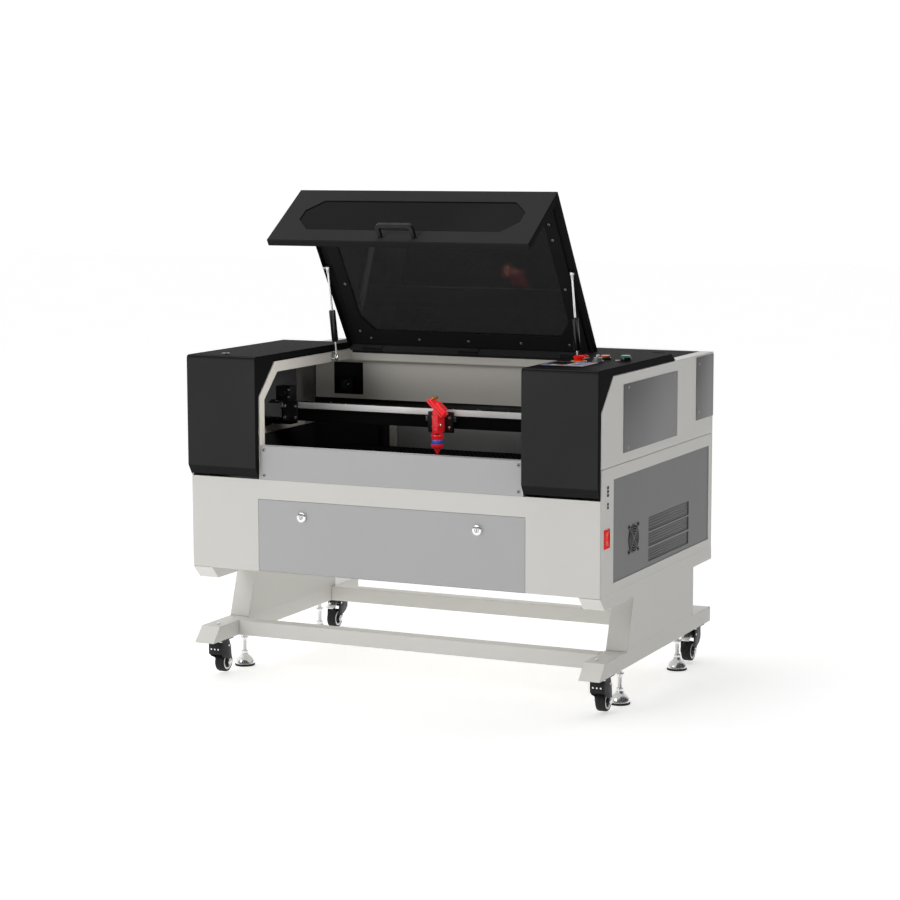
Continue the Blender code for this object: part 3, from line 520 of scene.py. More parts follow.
class Piece:
    """One visual piece, put together from several shapes and finishes."""

    def __init__(self, name):
        self.name = name
        self.bm = bmesh.new()
        self.materials = []

    def add(self, shape, material, matrix=None):
        """Takes in a shape with its finish, moved by the matrix."""
        if material not in self.materials:
            self.materials.append(material)
        index = self.materials.index(material)
        for face in shape.faces:
            face.material_index = index
        if matrix is not None:
            bmesh.ops.transform(shape, matrix=matrix, verts=shape.verts)
        mesh = bpy.data.meshes.new("shape")
        shape.to_mesh(mesh)
        shape.free()
        self.bm.from_mesh(mesh)
        bpy.data.meshes.remove(mesh)

    def finish(self, body, slot=None, replaces=()):
        """Makes the object, with the CAD nodes it stands for and the body it rides on."""
        mesh = bpy.data.meshes.new(self.name)
        self.bm.to_mesh(mesh)
        self.bm.free()
        for material in self.materials:
            mesh.materials.append(material)
        mesh.shade_smooth()
        mesh.set_sharp_from_angle(angle=SMOOTH_ANGLE)
        obj = bpy.data.objects.new(self.name, mesh)
        bpy.context.scene.collection.objects.link(obj)
        if replaces:
            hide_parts(*replaces)
        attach(obj, body)


def screw(piece, point, direction, radius=0.004, height=0.0022, material=None):
    """Button-head screw with a hexagon socket."""
    socket = radius * 0.46
    sink = 0.0006
    dome = [(socket, height * 0.92), (radius * 0.55, height), (radius * 0.8, height * 0.82),
            (radius * 0.95, height * 0.45), (radius, 0.0), (radius, -sink)]
    well = [(socket, height * 0.92), (socket * 0.96, height * 0.25), (0, height * 0.25)]
    place = aim(point, direction)
    piece.add(lathe(dome, 20), material or CHROME, place)
    piece.add(lathe(well, 6), BLACK_PLASTIC, place)


def hex_nut(piece, point, direction, radius, height, material):
    """Hexagon nut or bolt head."""
    piece.add(slab([circle(0, 0, radius, 6)], (0, height), "XY", bevel=radius * 0.06), material,
              aim(point, direction))


def rod(piece, start, end, radius, material, segments=16):
    """Round bar between two points."""
    start, end = Vector(start), Vector(end)
    piece.add(lathe(drum(radius, (end - start).length, 0), segments), material,
              aim(start, end - start))


# ---------------------------------------------------------------- carried-over CAD nodes
KEPT = {
    CREAM: ["leg_left", "leg_right", "foot_beam_left", "foot_beam_right", "cross_beam_front",
            "cross_beam_rear", "lower_cabinet"],
    BODY_CREAM: ["upper_body"],
    INNER_CREAM: ["inner_frame_left", "inner_frame_right", "tube_bay_wall", "y_rail_left",
                  "y_rail_right"],
    GREY: ["front_strip", "front_door"],
    SIDE_GREY: ["service_panel_left", "service_panel_right"],
    BLACK: ["hood_left", "hood_right", "lid_shell", "rear_top_cover"],
    SMOKED: ["lid_window_top"],
    SMOKED_FRONT: ["lid_window_front"],
    BLACK_PLASTIC: ["lid_handle"],
    GANTRY: ["gantry_beam"],
}
for kept_material, kept_names in KEPT.items():
    for kept_name in kept_names:
        for kept_slot in NODES[kept_name].material_slots:
            kept_slot.material = kept_material


# ---------------------------------------------------------------- running gear
def build_caster(end, side, name):
    """Twin-cheek swivel caster with a brake lever."""
    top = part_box(f"caster_fork_{end}_{name}")[1].z
    wheel_low, wheel_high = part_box(f"caster_wheel_{end}_{name}")
    way = 1 if end == "front" else -1
    x, swivel_y = side * CASTER_X, SWIVEL_Y[end]
    pivot_y = swivel_y + way * PEDAL_AHEAD
    axle_y = (wheel_low.y + wheel_high.y) / 2
    axle_z = (wheel_low.z + wheel_high.z) / 2

    fork = Piece(f"caster_fork_{end}_{name}_detail")
    cheek = (shifted(swivel_y, top, way, ((-0.021, -0.006), (0.023, -0.006), (0.03, -0.026)))
             + shifted(axle_y, axle_z, way, ((0.0105, 0.006), (0.0085, -0.006), (0, -0.0095),
                                             (-0.0085, -0.006), (-0.013, 0.01)))
             + shifted(swivel_y, 0, way, ((-0.0135, 0.054), (-0.0225, 0.071))))
    for inner in (-1, 1):
        outward = (inner, 0, 0)
        face = x + inner * 0.0198
        fork.add(slab([cheek], (x + inner * 0.017, face), "YZ", bevel=0.0008), BLACK_PLASTIC)
        hex_nut(fork, (face, axle_y, axle_z), outward, 0.0062, 0.0032, CHROME)
        fork.add(lathe(disc(0.0088, 0.0092, 0.0006, 0, -0.0004), 24), STEEL,
                 aim((x + inner * 0.0202, axle_y, axle_z), outward))
        fork.add(lathe(disc(0.0022, 0.003, 0.0014, 0.0004), 14), CHROME,
                 aim((face, pivot_y, PEDAL_Z), outward))
    fork.add(block((x - 0.0198, swivel_y - 0.0225, top - 0.0085),
                   (x + 0.0198, swivel_y + 0.0225, top - 0.002), 0.0022, 3), BLACK_PLASTIC)
    front_y = swivel_y - way * 0.0235
    y_low, y_high = sorted((front_y, swivel_y - way * 0.0205))
    fork.add(block((x - 0.019, y_low, 0.06), (x + 0.019, y_high, top - 0.004), 0.0012),
             BLACK_PLASTIC)
    for dx in (-0.0105, 0.0, 0.0105):
        fork.add(lathe(disc(0.0018, 0.0025, 0.001, 0.0004, -0.0005), 14), CHROME,
                 aim((x + dx, front_y, 0.0745), (0, -way, 0)))
    fork.add(lathe(disc(0.0185, 0.0195, 0, -0.0012, -0.0026), 32), STEEL, at(x, swivel_y, top))
    rod(fork, (x - 0.0172, axle_y, axle_z), (x + 0.0172, axle_y, axle_z), 0.0034, STEEL)
    fork.finish(f"caster_{end}_{name}", "caster_steel", [f"caster_fork_{end}_{name}"])

    wheel = Piece(f"caster_wheel_{end}_{name}_detail")
    place = at(x, axle_y, axle_z) @ spun(pi / 2, "Y")
    tyre = [(0.0208, 0.012), (0.0222, 0.0133), (0.0244, 0.0131), (0.0262, 0.0118),
            (0.0272, 0.0092), (0.0275, 0.006), (0.0275, 0.0022), (0.0269, 0.0016)]
    ring = [(0.016, 0.011), (0.0168, 0.013), (0.0211, 0.013), (0.0216, 0.0116)]
    hub = [(0.0042, 0.0135), (0.0078, 0.0135), (0.009, 0.012), (0.01, 0.008),
           (0.015, 0.0074), (0.0164, 0.0096)]
    for half, segments, material in ((tyre, 56, TYRE), (ring, 56, RIM), (hub, 40, BLACK_PLASTIC)):
        wheel.add(lathe(mirrored(half), segments, closed=True), material, place)
    for spoke in range(6):
        for flip in (pi, 0):
            rib = block((0.0098, -0.0011, 0.007), (0.0182, 0.0011, 0.0096), 0.0005)
            wheel.add(rib, BLACK_PLASTIC, place @ spun(spoke * pi / 3) @ spun(flip, "X"))
    wheel.finish(f"wheel_{end}_{name}", "tyre_rubber", [f"caster_wheel_{end}_{name}"])

    pedal = Piece(f"caster_brake_{end}_{name}_detail")
    arm = shifted(pivot_y, PEDAL_Z, way, (
        (-0.0038, -0.0038), (0.011, -0.0032), (0.03, -0.009), (0.041, -0.0132),
        (0.042, -0.0108), (0.031, -0.0058), (0.012, 0.0032), (0, 0.004), (-0.0038, 0.0026)))
    pedal.add(slab([arm], (x - 0.013, x + 0.013), "YZ", bevel=0.001), CHROME)
    slope = atan2(-0.009, way * 0.03)
    for step in range(4):
        reach = 0.018 + 0.005 * step
        rib = block((-0.0105, -0.0008, -0.0006), (0.0105, 0.0008, 0.0008), 0.0003)
        rib_z = PEDAL_Z + 0.0004 - 0.44 * (reach - 0.015)
        pedal.add(rib, CHROME, at(x, pivot_y + way * reach, rib_z) @ spun(slope, "X"))
    pedal.finish(f"brake_{end}_{name}", "chrome", [f"caster_brake_{end}_{name}"])


def build_foot(end, name):
    """Levelling foot: studded pad with a rubber sole and two nuts."""
    low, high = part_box(f"leveling_foot_{end}_{name}")
    x, y = (low.x + high.x) / 2, (low.y + high.y) / 2
    foot = Piece(f"leveling_foot_{end}_{name}_detail")
    dome = [(0.006, 0.0345), (0.0092, 0.0338), (0.0112, 0.03), (0.015, 0.0262),
            (0.0205, 0.0215), (0.0243, 0.0158), (0.026, 0.01), (0.0264, 0.0062),
            (0.0256, 0.0056), (0, 0.0056)]
    sole = [(0, 0.006), (0.0262, 0.006), (0.0274, 0.0048), (0.0275, 0.0012), (0.0268, 0.0),
            (0, 0.0)]
    stud_top, pitch = 0.115, 0.0017
    thread = []
    for turn in range(48):
        z = stud_top - turn * pitch
        thread += [(0.0058, z), (0.0052, z - pitch / 2)]
    stud = [(0, stud_top)] + thread + [(0.0052, 0.033), (0, 0.033)]
    for profile, segments, material in ((dome, 48, CHROME), (sole, 48, SOLE), (stud, 18, CHROME)):
        foot.add(lathe(profile, segments), material, at(x, y, 0.0))
    for z in (0.0345, 0.073):
        hex_nut(foot, (x, y, z), UP, 0.0104, 0.0072, CHROME)
    foot.add(lathe([(0.005, 0.0012), (0.0118, 0.0012), (0.0122, 0.0), (0.005, 0.0)], 28),
             CHROME, at(x, y, 0.0804))
    foot.finish(f"foot_{end}_{name}", "chrome", [f"leveling_foot_{end}_{name}"])


def build_running_gear():
    """Casters and feet with their plates, nuts and washers, and the beams' end caps."""
    for side, name in SIDES:
        plates = Piece(f"caster_plates_{name}")
        x = side * CASTER_X
        for end in ("front", "rear"):
            build_caster(end, side, name)
            build_foot(end, name)
            y = SWIVEL_Y[end]
            plates.add(pad(x, y, 0.027, 0.033, 0.0989, 0.1016, 0.0006), BLACK_PLASTIC)
            for dx in (-0.02, 0.02):
                for dy in (-0.0255, 0.0255):
                    hex_nut(plates, (x + dx, y + dy, 0.0989), (0, 0, -1), 0.0042, 0.003, CHROME)
            plates.add(lathe([(0.0062, 0.0012), (0.012, 0.0012), (0.0124, 0), (0.0062, 0)], 28),
                       CHROME, at(x, FOOT_Y[end], 0.1004))
        hex_nut(plates, (side * 0.545, -0.348, 0.1422), UP, 0.005, 0.0035, CHROME)
        plates.finish("frame", "caster_steel")
        cap = Piece(f"beam_end_cap_{name}")
        cap.add(flank(side, (0.5226, 0.428, 0.1025), (0.5794, 0.4318, 0.1416), 0.0012), CREAM)
        cap.add(flank(side, (0.5261, 0.418, 0.1055), (0.5759, 0.429, 0.1386)), CREAM)
        cap.finish("frame", "cream_paint")


# ---------------------------------------------------------------- outside of the body
def build_side_panels():
    """Raised panels on the upper side walls and over the rear corners."""
    for side, name in SIDES:
        face = side * 0.5801
        panel = Piece(f"upper_side_panel_{name}")
        for edges in ((-0.2627, 0.136, 0.6553, 0.8273), (0.2885, 0.4306, 0.6784, 0.8495)):
            panel.add(slab([oblong(*edges)], (face, face + side * 0.0011), "YZ", bevel=0.0004),
                      SIDE_GREY)
        panel.finish("frame", "side_grey_paint")
    sockets = Piece("panel_screw_sockets")
    for side, _ in SIDES:
        spots = [((side * HALF_WIDTH, y, z), (side, 0, 0)) for y, z in PANEL_SCREWS]
        spots += [((side * 0.55, BODY_REAR, z), (0, 1, 0)) for z in CORNER_SCREW_Z]
        for spot, direction in spots:
            sockets.add(lathe(drum(0.00155, 0.0011, 0.0006), 6), BLACK_PLASTIC,
                        aim(spot, direction))
    sockets.finish("frame", "black_plastic")
    back = Piece("rear_corner_panels")
    for side, _ in SIDES:
        low, high = sorted((side * 0.5165, side * 0.5792))
        back.add(slab([oblong(low, high, 0.6784, 0.8495)], (0.4316, 0.4326), "XZ", bevel=0.0004),
                 SIDE_GREY)
    back.finish("frame", "side_grey_paint")


def build_vents():
    """Dark flat louvre backs, the fan's guard and its housing behind the right service panel."""
    backs = Piece("vent_backs")
    slats = 5
    for low, high in ((0.4289, 0.4658), (0.3894, 0.424), (0.35, 0.383)):
        backs.add(block((0.5752, -0.074, low - 0.0025), (0.5764, 0.244, high + 0.0025)),
                  VENT_GREY)
        for index in range(slats):
            z = low + (high - low) * (index + 0.5) / slats
            backs.add(block((0.5762, -0.07, z - 0.0004), (0.5772, 0.24, z + 0.0016), 0.0003),
                      VENT_GREY)
    backs.finish("frame", "side_grey_paint")

    guard = Piece("fan_guard")
    y, z = FAN_Y, FAN_Z
    guard_place = aim((0.5787, y, z), RIGHT)
    for radius in (0.0085, 0.015, 0.0215, 0.028, 0.0345):
        ring = [(radius + 0.001, 0.0016), (radius + 0.0013, 0.0008), (radius + 0.001, 0.0),
                (radius - 0.001, 0.0), (radius - 0.0013, 0.0008), (radius - 0.001, 0.0016)]
        guard.add(lathe(ring, 56, closed=True), GLOSS_BLACK, guard_place)
    guard.add(lathe([(0, 0.0016), (0.004, 0.0016), (0.0046, 0.0008), (0.004, 0), (0, 0)], 28),
              GLOSS_BLACK, guard_place)
    tab_radius = 0.0452
    for quarter in range(4):
        place = guard_place @ spun(pi / 4 + quarter * pi / 2)
        spoke = block((0.004, -0.0014, 0.0001), (0.044, 0.0014, 0.0014), 0.0004)
        guard.add(spoke, GLOSS_BLACK, place)
        guard.add(lathe(disc(0.0052, 0.0058, 0.002, 0.0012), 24), GLOSS_BLACK,
                  place @ at(tab_radius, 0, 0))
        guard.add(lathe(disc(0.002, 0.0028, 0.0012, 0.0004), 16), BLACK_PLASTIC,
                  at(*(place @ Vector((tab_radius, 0, 0.0018)))) @ spun(pi / 2, "Y"))
    guard.finish("frame", "black_plastic")

    housing = Piece("fan_housing")
    housing.add(slab([centred(y, z, 0.04, 0.04), circle(y, z, 0.0372, 48)],
                     (0.552, 0.5762), "YZ", bevel=0.001), BLACK_PLASTIC)
    for quarter in range(4):
        strut = block((-0.0016, 0.006, -0.026), (0.0016, 0.0372, -0.0225))
        housing.add(strut, BLACK_PLASTIC, guard_place @ spun(quarter * pi / 2))
    housing.add(lathe(drum(0.015, -0.0222, -0.0265), 32), BLACK_PLASTIC, guard_place)
    housing.finish("frame", "black_plastic")

    rotor = Piece("fan_rotor_detail")
    axis = aim((0.558, y, z), RIGHT)
    rotor.add(lathe([(0, 0.0082), (0.0105, 0.0082), (0.0128, 0.007), (0.013, 0.0),
                     (0, 0.0)], 40), BLACK_PLASTIC, axis)
    for blade in range(7):
        grid = bmesh.new()
        rows = []
        for i in range(5):
            radius = 0.012 + 0.0052 * i
            row = []
            for j in range(5):
                angle = 0.72 * j / 4 + 0.05 * i
                height = 0.0012 + 0.0052 * j / 4 - 0.0006 * sin(pi * j / 4)
                row.append(grid.verts.new((radius * cos(angle), radius * sin(angle), height)))
            rows.append(row)
        for first, second in zip(rows, rows[1:]):
            for k in range(4):
                grid.faces.new((first[k], first[k + 1], second[k + 1], second[k]))
        bmesh.ops.solidify(grid, geom=grid.faces[:], thickness=0.0009)
        bmesh.ops.recalc_face_normals(grid, faces=grid.faces)
        rotor.add(grid, BLACK_PLASTIC, axis @ spun(2 * pi * blade / 7))
    rotor.finish("fan_rotor", "black_plastic", ["cooling_fan"])


def build_side_fittings():
    """Ports and the mains switch's frame on the right side."""
    ports = Piece("side_ports")
    y = -0.3667
    for z, half_y, half_z in ((0.5824, 0.0048, 0.0036), (0.5729, 0.0048, 0.0036),
                              (0.5632, 0.0048, 0.0036), (0.5408, 0.0044, 0.0034),
                              (0.5323, 0.0044, 0.0034)):
        ports.add(slab([centred(y, z, half_y, half_z),
                        centred(y, z, half_y - 0.0013, half_z - 0.0012)], (0.5796, 0.5812), "YZ",
                       bevel=0.0003), GLOSS_BLACK)
        ports.add(block((0.5794, y - half_y + 0.001, z - half_z + 0.001),
                        (0.5804, y + half_y - 0.001, z + half_z - 0.001)), BLACK_PLASTIC)
    ports.finish("frame", "black_plastic")

    y, z = SWITCH_Y, SWITCH_Z
    bezel = Piece("switch_bezel")
    bezel.add(slab([centred(y, z, 0.0195, 0.0245), centred(y, z, 0.0155, 0.0205)],
                   (0.5796, 0.5813), "YZ", bevel=0.0004), RED_PLASTIC)
    bezel.add(slab([centred(y, z, 0.0163, 0.0213), centred(y, z, 0.0151, 0.0201)],
                   (0.578, 0.5816), "YZ"), BLACK_PLASTIC)
    bezel.finish("frame", "red_plastic")
    paddle = Piece("power_switch_detail")
    face = [(x, z + dz) for x, dz in (
        (0.57, -0.013), (0.579, -0.0198), (0.5813, -0.0192), (0.5804, -0.01), (0.5802, 0),
        (0.5804, 0.01), (0.5813, 0.0192), (0.579, 0.0198), (0.57, 0.013))]
    paddle.add(slab([face], (y - 0.0148, y + 0.0148), "XZ", bevel=0.0006), RED_PLASTIC)
    paddle.add(block((0.5803, y - 0.001, z + 0.008), (0.5809, y + 0.001, z + 0.015), 0.0002),
               YELLOW_PLASTIC)
    dial = [(0.0052, 0.0004), (0.0052, 0.0), (0.004, 0.0), (0.004, 0.0004)]
    paddle.add(lathe(dial, 24, closed=True), YELLOW_PLASTIC, aim((0.5804, y, z - 0.011), RIGHT))
    paddle.finish("power_switch", "red_plastic", ["power_switch"])


def build_stand_seams():
    """Paint-filled seams above and below the legs, so the welded stand reads as one piece."""
    seams = Piece("stand_seams")
    rail_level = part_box("lower_cabinet")[0].z
    for side, name in SIDES:
        beam_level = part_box(f"foot_beam_{name}")[1].z
        seams.add(flank(side, (0.578, FRONT + 0.0045, rail_level - 0.0032),
                        (0.5801, BODY_REAR - 0.0022, rail_level + 0.003)), CREAM)
        for near, far in ((0.578, 0.5801), (0.5219, 0.524)):
            seams.add(flank(side, (near, -0.2236, beam_level - 0.003),
                            (far, 0.2825, beam_level + 0.0034)), CREAM)
    seams.finish("frame", "cream_paint")


def build_door_locks():
    """Cam locks of the front door, with their nuts and cams behind it."""
    for side, name in SIDES:
        x, z = side * LOCK_X, LOCK_Z
        lock = Piece(f"door_lock_{name}_detail")
        place = aim((x, FRONT, z), FORWARD)
        face = [(0.003, 0.0064), (0.0098, 0.0064), (0.0124, 0.0056), (0.0134, 0.0036),
                (0.0135, 0.0003), (0.01, 0.0002), (0.01, -0.014), (0, -0.014)]
        lock.add(lathe([(0, 0.0052), (0.0028, 0.0052)] + face, 48), CHROME, place)
        lock.add(slab([oblong(-0.0009, 0.0009, -0.0046, 0.0046)], (0.0051, 0.0062), "XY"),
                 BLACK_PLASTIC, place)
        ring = [(0.0046, 0.0064), (0.006, 0.0064), (0.006, 0.006), (0.0046, 0.006)]
        lock.add(lathe(ring, 32, closed=True), STEEL, place)
        hex_nut(lock, (x, FRONT + 0.0026, z), (0, 1, 0), 0.0135, 0.0035, STEEL)
        lock.add(block((x - 0.007, FRONT + 0.0092, z - 0.006),
                       (x + 0.007, FRONT + 0.0113, z + 0.0363), 0.0007), STEEL)
        lock.finish(f"door_lock_{name}", "chrome", [f"door_lock_{name}"])


# ---------------------------------------------------------------- work chamber
def build_chamber():
    """Liners, the rear wall, the bay's back, the front strip's screws and the Y rails' tops."""
    liner = Piece("chamber_liner")
    for side, _ in SIDES:
        liner.add(flank(side, (0.5762, -0.4, 0.638), (0.5772, 0.159, 0.85)), SIDE_LINER)
        liner.add(flank(side, (0.4962, 0.1595, 0.56), (0.577, 0.1615, 0.852), 0.0004),
                  INNER_CREAM)
        liner.add(flank(side, (0.512, -0.4, 0.556), (0.514, 0.159, 0.638)), DARK_LINER)
    liner.finish("frame", "black_paint")

    wall = Piece("chamber_rear_panel")
    # The black plastic band from 0.665 to 0.712 under the bay is painted shade of the bay's
    # overhang on the grey wall; the grey below it is the wall's own.
    for low, high, bevel, material in (
            ((-0.25, 0.1495, 0.558), (0.494, 0.1518, 0.664), 0.0004, REAR_LINER),
            ((-0.2735, 0.144, 0.665), (0.494, 0.1518, 0.712), 0.0004, BLACK_PLASTIC),
            ((-0.5118, 0.1497, 0.558), (-0.274, 0.1518, 0.712), 0.0004, BLACK),
            ((-0.2735, 0.144, 0.582), (-0.25, 0.152, 0.664), 0.001, INNER_CREAM),
            ((-0.308, 0.145, 0.582), (-0.296, 0.15, 0.712), 0.001, BLACK_PLASTIC)):
        wall.add(block(low, high, bevel), material)
    for x, y in ((-0.46, 0.1495), (0.0, 0.1438), (0.46, 0.1438)):
        screw(wall, (x, y, 0.696), FORWARD, radius=0.0035)
    wall.finish("frame", "black_paint")

    bay = Piece("tube_bay_back")
    bay.add(block((-0.499, 0.16, 0.7165), (-0.3, 0.1612, 0.849)), DARK_LINER)
    bay.add(block((-0.499, 0.1262, 0.7165), (-0.4975, 0.16, 0.849)), DARK_LINER)
    bay.add(block((-0.428, 0.138, 0.73), (-0.39, 0.15, 0.77), 0.0015), BLACK_PLASTIC)
    bay.add(lathe(disc(0.011, 0.0125, 0.003, 0.0015), 32), GLOSS_BLACK,
            aim((-0.409, 0.138, 0.75), FORWARD))
    bay.finish("frame", "black_paint")

    strip = Piece("front_strip_screws")
    for side, _ in SIDES:
        for z in (0.632, 0.565):
            screw(strip, (side * 0.361, FRONT - 0.0001, z), FORWARD, radius=0.0048,
                  height=0.0018, material=SATIN)
    strip.add(block((-0.37, -0.4138, 0.6425), (0.37, -0.3925, 0.643)), CAP_GREY)
    strip.finish("frame", "chrome")

    rails = Piece("y_rail_details")
    for side, _ in SIDES:
        rails.add(flank(side, (0.53, -0.398, 0.6518), (0.546, 0.118, 0.6532), 0.0003), RAIL)
        for index in range(9):
            screw(rails, (side * 0.538, -0.37 + 0.058 * index, 0.653), UP, radius=0.0026,
                  height=0.0012)
    rails.finish("frame", "gantry_metal")


def build_bed():
    """Honeycomb panel in a frame, with knife-edge walls between hexagonal cells."""
    low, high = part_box("bed")
    bed = Piece("honeycomb_bed")
    rim = 0.012
    x0, x1, y0, y1 = low.x + rim, high.x - rim, low.y + rim, high.y - rim
    bed.add(slab([oblong(low.x, high.x, low.y, high.y), oblong(x0, x1, y0, y1)],
                 (low.z, high.z), "XY", bevel=0.0008), BLACK)
    pitch, wall, depth = 0.0135, 0.0011, 0.008
    row_step = pitch * sin(pi / 3)
    radius = pitch / 2 / cos(pi / 6)
    grid = bmesh.new()
    top = high.z - 0.0008
    levels = ((radius, top), (radius - wall / 2, top), (radius - wall / 2, top - depth))
    rows = int((high.y - low.y - 2 * rim) / row_step) + 1
    columns = int((high.x - low.x - 2 * rim) / pitch) + 1
    for row in range(rows):
        y = y0 + row * row_step
        for column in range(columns):
            x = x0 + (column + (row % 2) / 2) * pitch
            if x > x1:
                continue
            rings = [[grid.verts.new((min(max(u, x0), x1), min(max(v, y0), y1), z))
                      for u, v in circle(x, y, reach, 6, pi / 6)] for reach, z in levels]
            for upper, lower in zip(rings, rings[1:]):
                for k in range(6):
                    n = (k + 1) % 6
                    grid.faces.new((upper[k], upper[n], lower[n], lower[k]))
    bed.add(grid, HONEYCOMB)
    bed.add(block((low.x + 0.01, low.y + 0.01, top - depth - 0.0015),
                  (high.x - 0.01, high.y - 0.01, top - depth)), BLACK)
    bed.finish("bed", "black_paint", ["bed"])


def build_tube():
    """Glass laser tube with its inner bore, water jacket, electrodes and saddles."""
    y, z = TUBE_Y, TUBE_Z
    place = aim((0, y, z), RIGHT)
    tube = Piece("laser_tube_detail")
    glass_wall = (mirrored([(0.012, 0.5), (0.0262, 0.498), (0.0272, 0.49)])
                  + mirrored([(0.012, -0.496), (0.025, -0.494), (0.0258, -0.488)]))
    bore, jacket = sleeve(0.0055, 0.0045, 0.46, -0.46), sleeve(0.0135, 0.0128, 0.43, -0.43)
    for profile, segments in ((glass_wall, 40), (bore, 24), (jacket, 28)):
        tube.add(lathe(profile, segments, closed=True), TUBE_GLASS, place)
    for end in (-1, 1):
        cap = [(0, 0.52), (0.008, 0.52), (0.009, 0.518), (0.01, 0.505), (0.0125, 0.502),
               (0.0125, 0.49), (0, 0.49)]
        tube.add(lathe([(r, end * h) for r, h in cap], 32), RAIL, place)
        tube.add(lathe(sleeve(0.011, 0.0104, end * 0.475, end * 0.435), 28, closed=True),
                 STEEL, place)
    tube.finish("frame", "tube_glass", ["laser_tube"])
    saddles = Piece("tube_saddles")
    for x in (-0.32, 0.32):
        ring = [circle(y, z, 0.0345, 40), circle(y, z, 0.0276, 40)]
        saddles.add(slab(ring, (x - 0.011, x + 0.011), "YZ", bevel=0.0008), BLACK_PLASTIC)
        saddles.add(pad(x, y, 0.011, 0.03, 0.717, 0.764, 0.0015), BLACK_PLASTIC)
    saddles.add(block((-0.49, 0.2, 0.7145), (0.49, 0.34, 0.717), 0.0006), CREAM)
    saddles.finish("frame", "black_plastic")


# ---------------------------------------------------------------- motion system
def build_gantry():
    """Rail strip, bolts and runners of the gantry, and the second mirror's mount."""
    trim = Piece("gantry_trim")
    trim.add(block((-0.466, -0.1292, 0.7106), (0.466, -0.1275, 0.7272), 0.0003), RAIL)
    for side, _ in SIDES:
        for x in (0.485, 0.518):
            for y in (-0.114, -0.095):
                screw(trim, (side * x, y, 0.678), UP, radius=0.0034, height=0.0018)
        runner = block((-0.01, -0.029, 0.6532), (0.01, 0.029, 0.6658), 0.0008)
        trim.add(runner, STEEL, at(side * 0.5385, -0.1045, 0))
    for index in range(12):
        screw(trim, (-0.44 + 0.08 * index, -0.1055, 0.725), UP, radius=0.0024, height=0.0008)
    trim.finish("gantry", "gantry_metal")

    mount = Piece("mirror_mount_detail")
    back = GANTRY_FRONT
    face = back - 0.006
    for low, high, bevel in (
            ((-0.4582, face, 0.674), (-0.4142, back, 0.73), 0.0012),
            ((-0.48, face, 0.729), (-0.4357, back + 0.03, 0.769), 0.0015),
            ((-0.488, back - 0.033, 0.725), (-0.455, back, 0.73), 0.0012)):
        mount.add(block(low, high, bevel), BLACK_PLASTIC)
    mount.add(lathe(disc(0.012, 0.0135, 0.004, 0.0028), 36), GLOSS_BLACK,
              at(-0.474, back - 0.019, 0.73))
    for x in (-0.4522, -0.4202):
        for z in (0.685, 0.716):
            screw(mount, (x, face, z), FORWARD, radius=0.0042, height=0.0026)
    for z in (0.74, 0.76):
        screw(mount, (-0.4402, face, z), FORWARD, radius=0.003)
    mount.add(lathe(disc(0.0105, 0.0115, 0.002, 0.001), 36), GLOSS_BLACK,
              aim((-0.461, back - 0.0061, 0.75), FORWARD))
    mount.finish("gantry", "black_plastic", ["mirror_mount"])


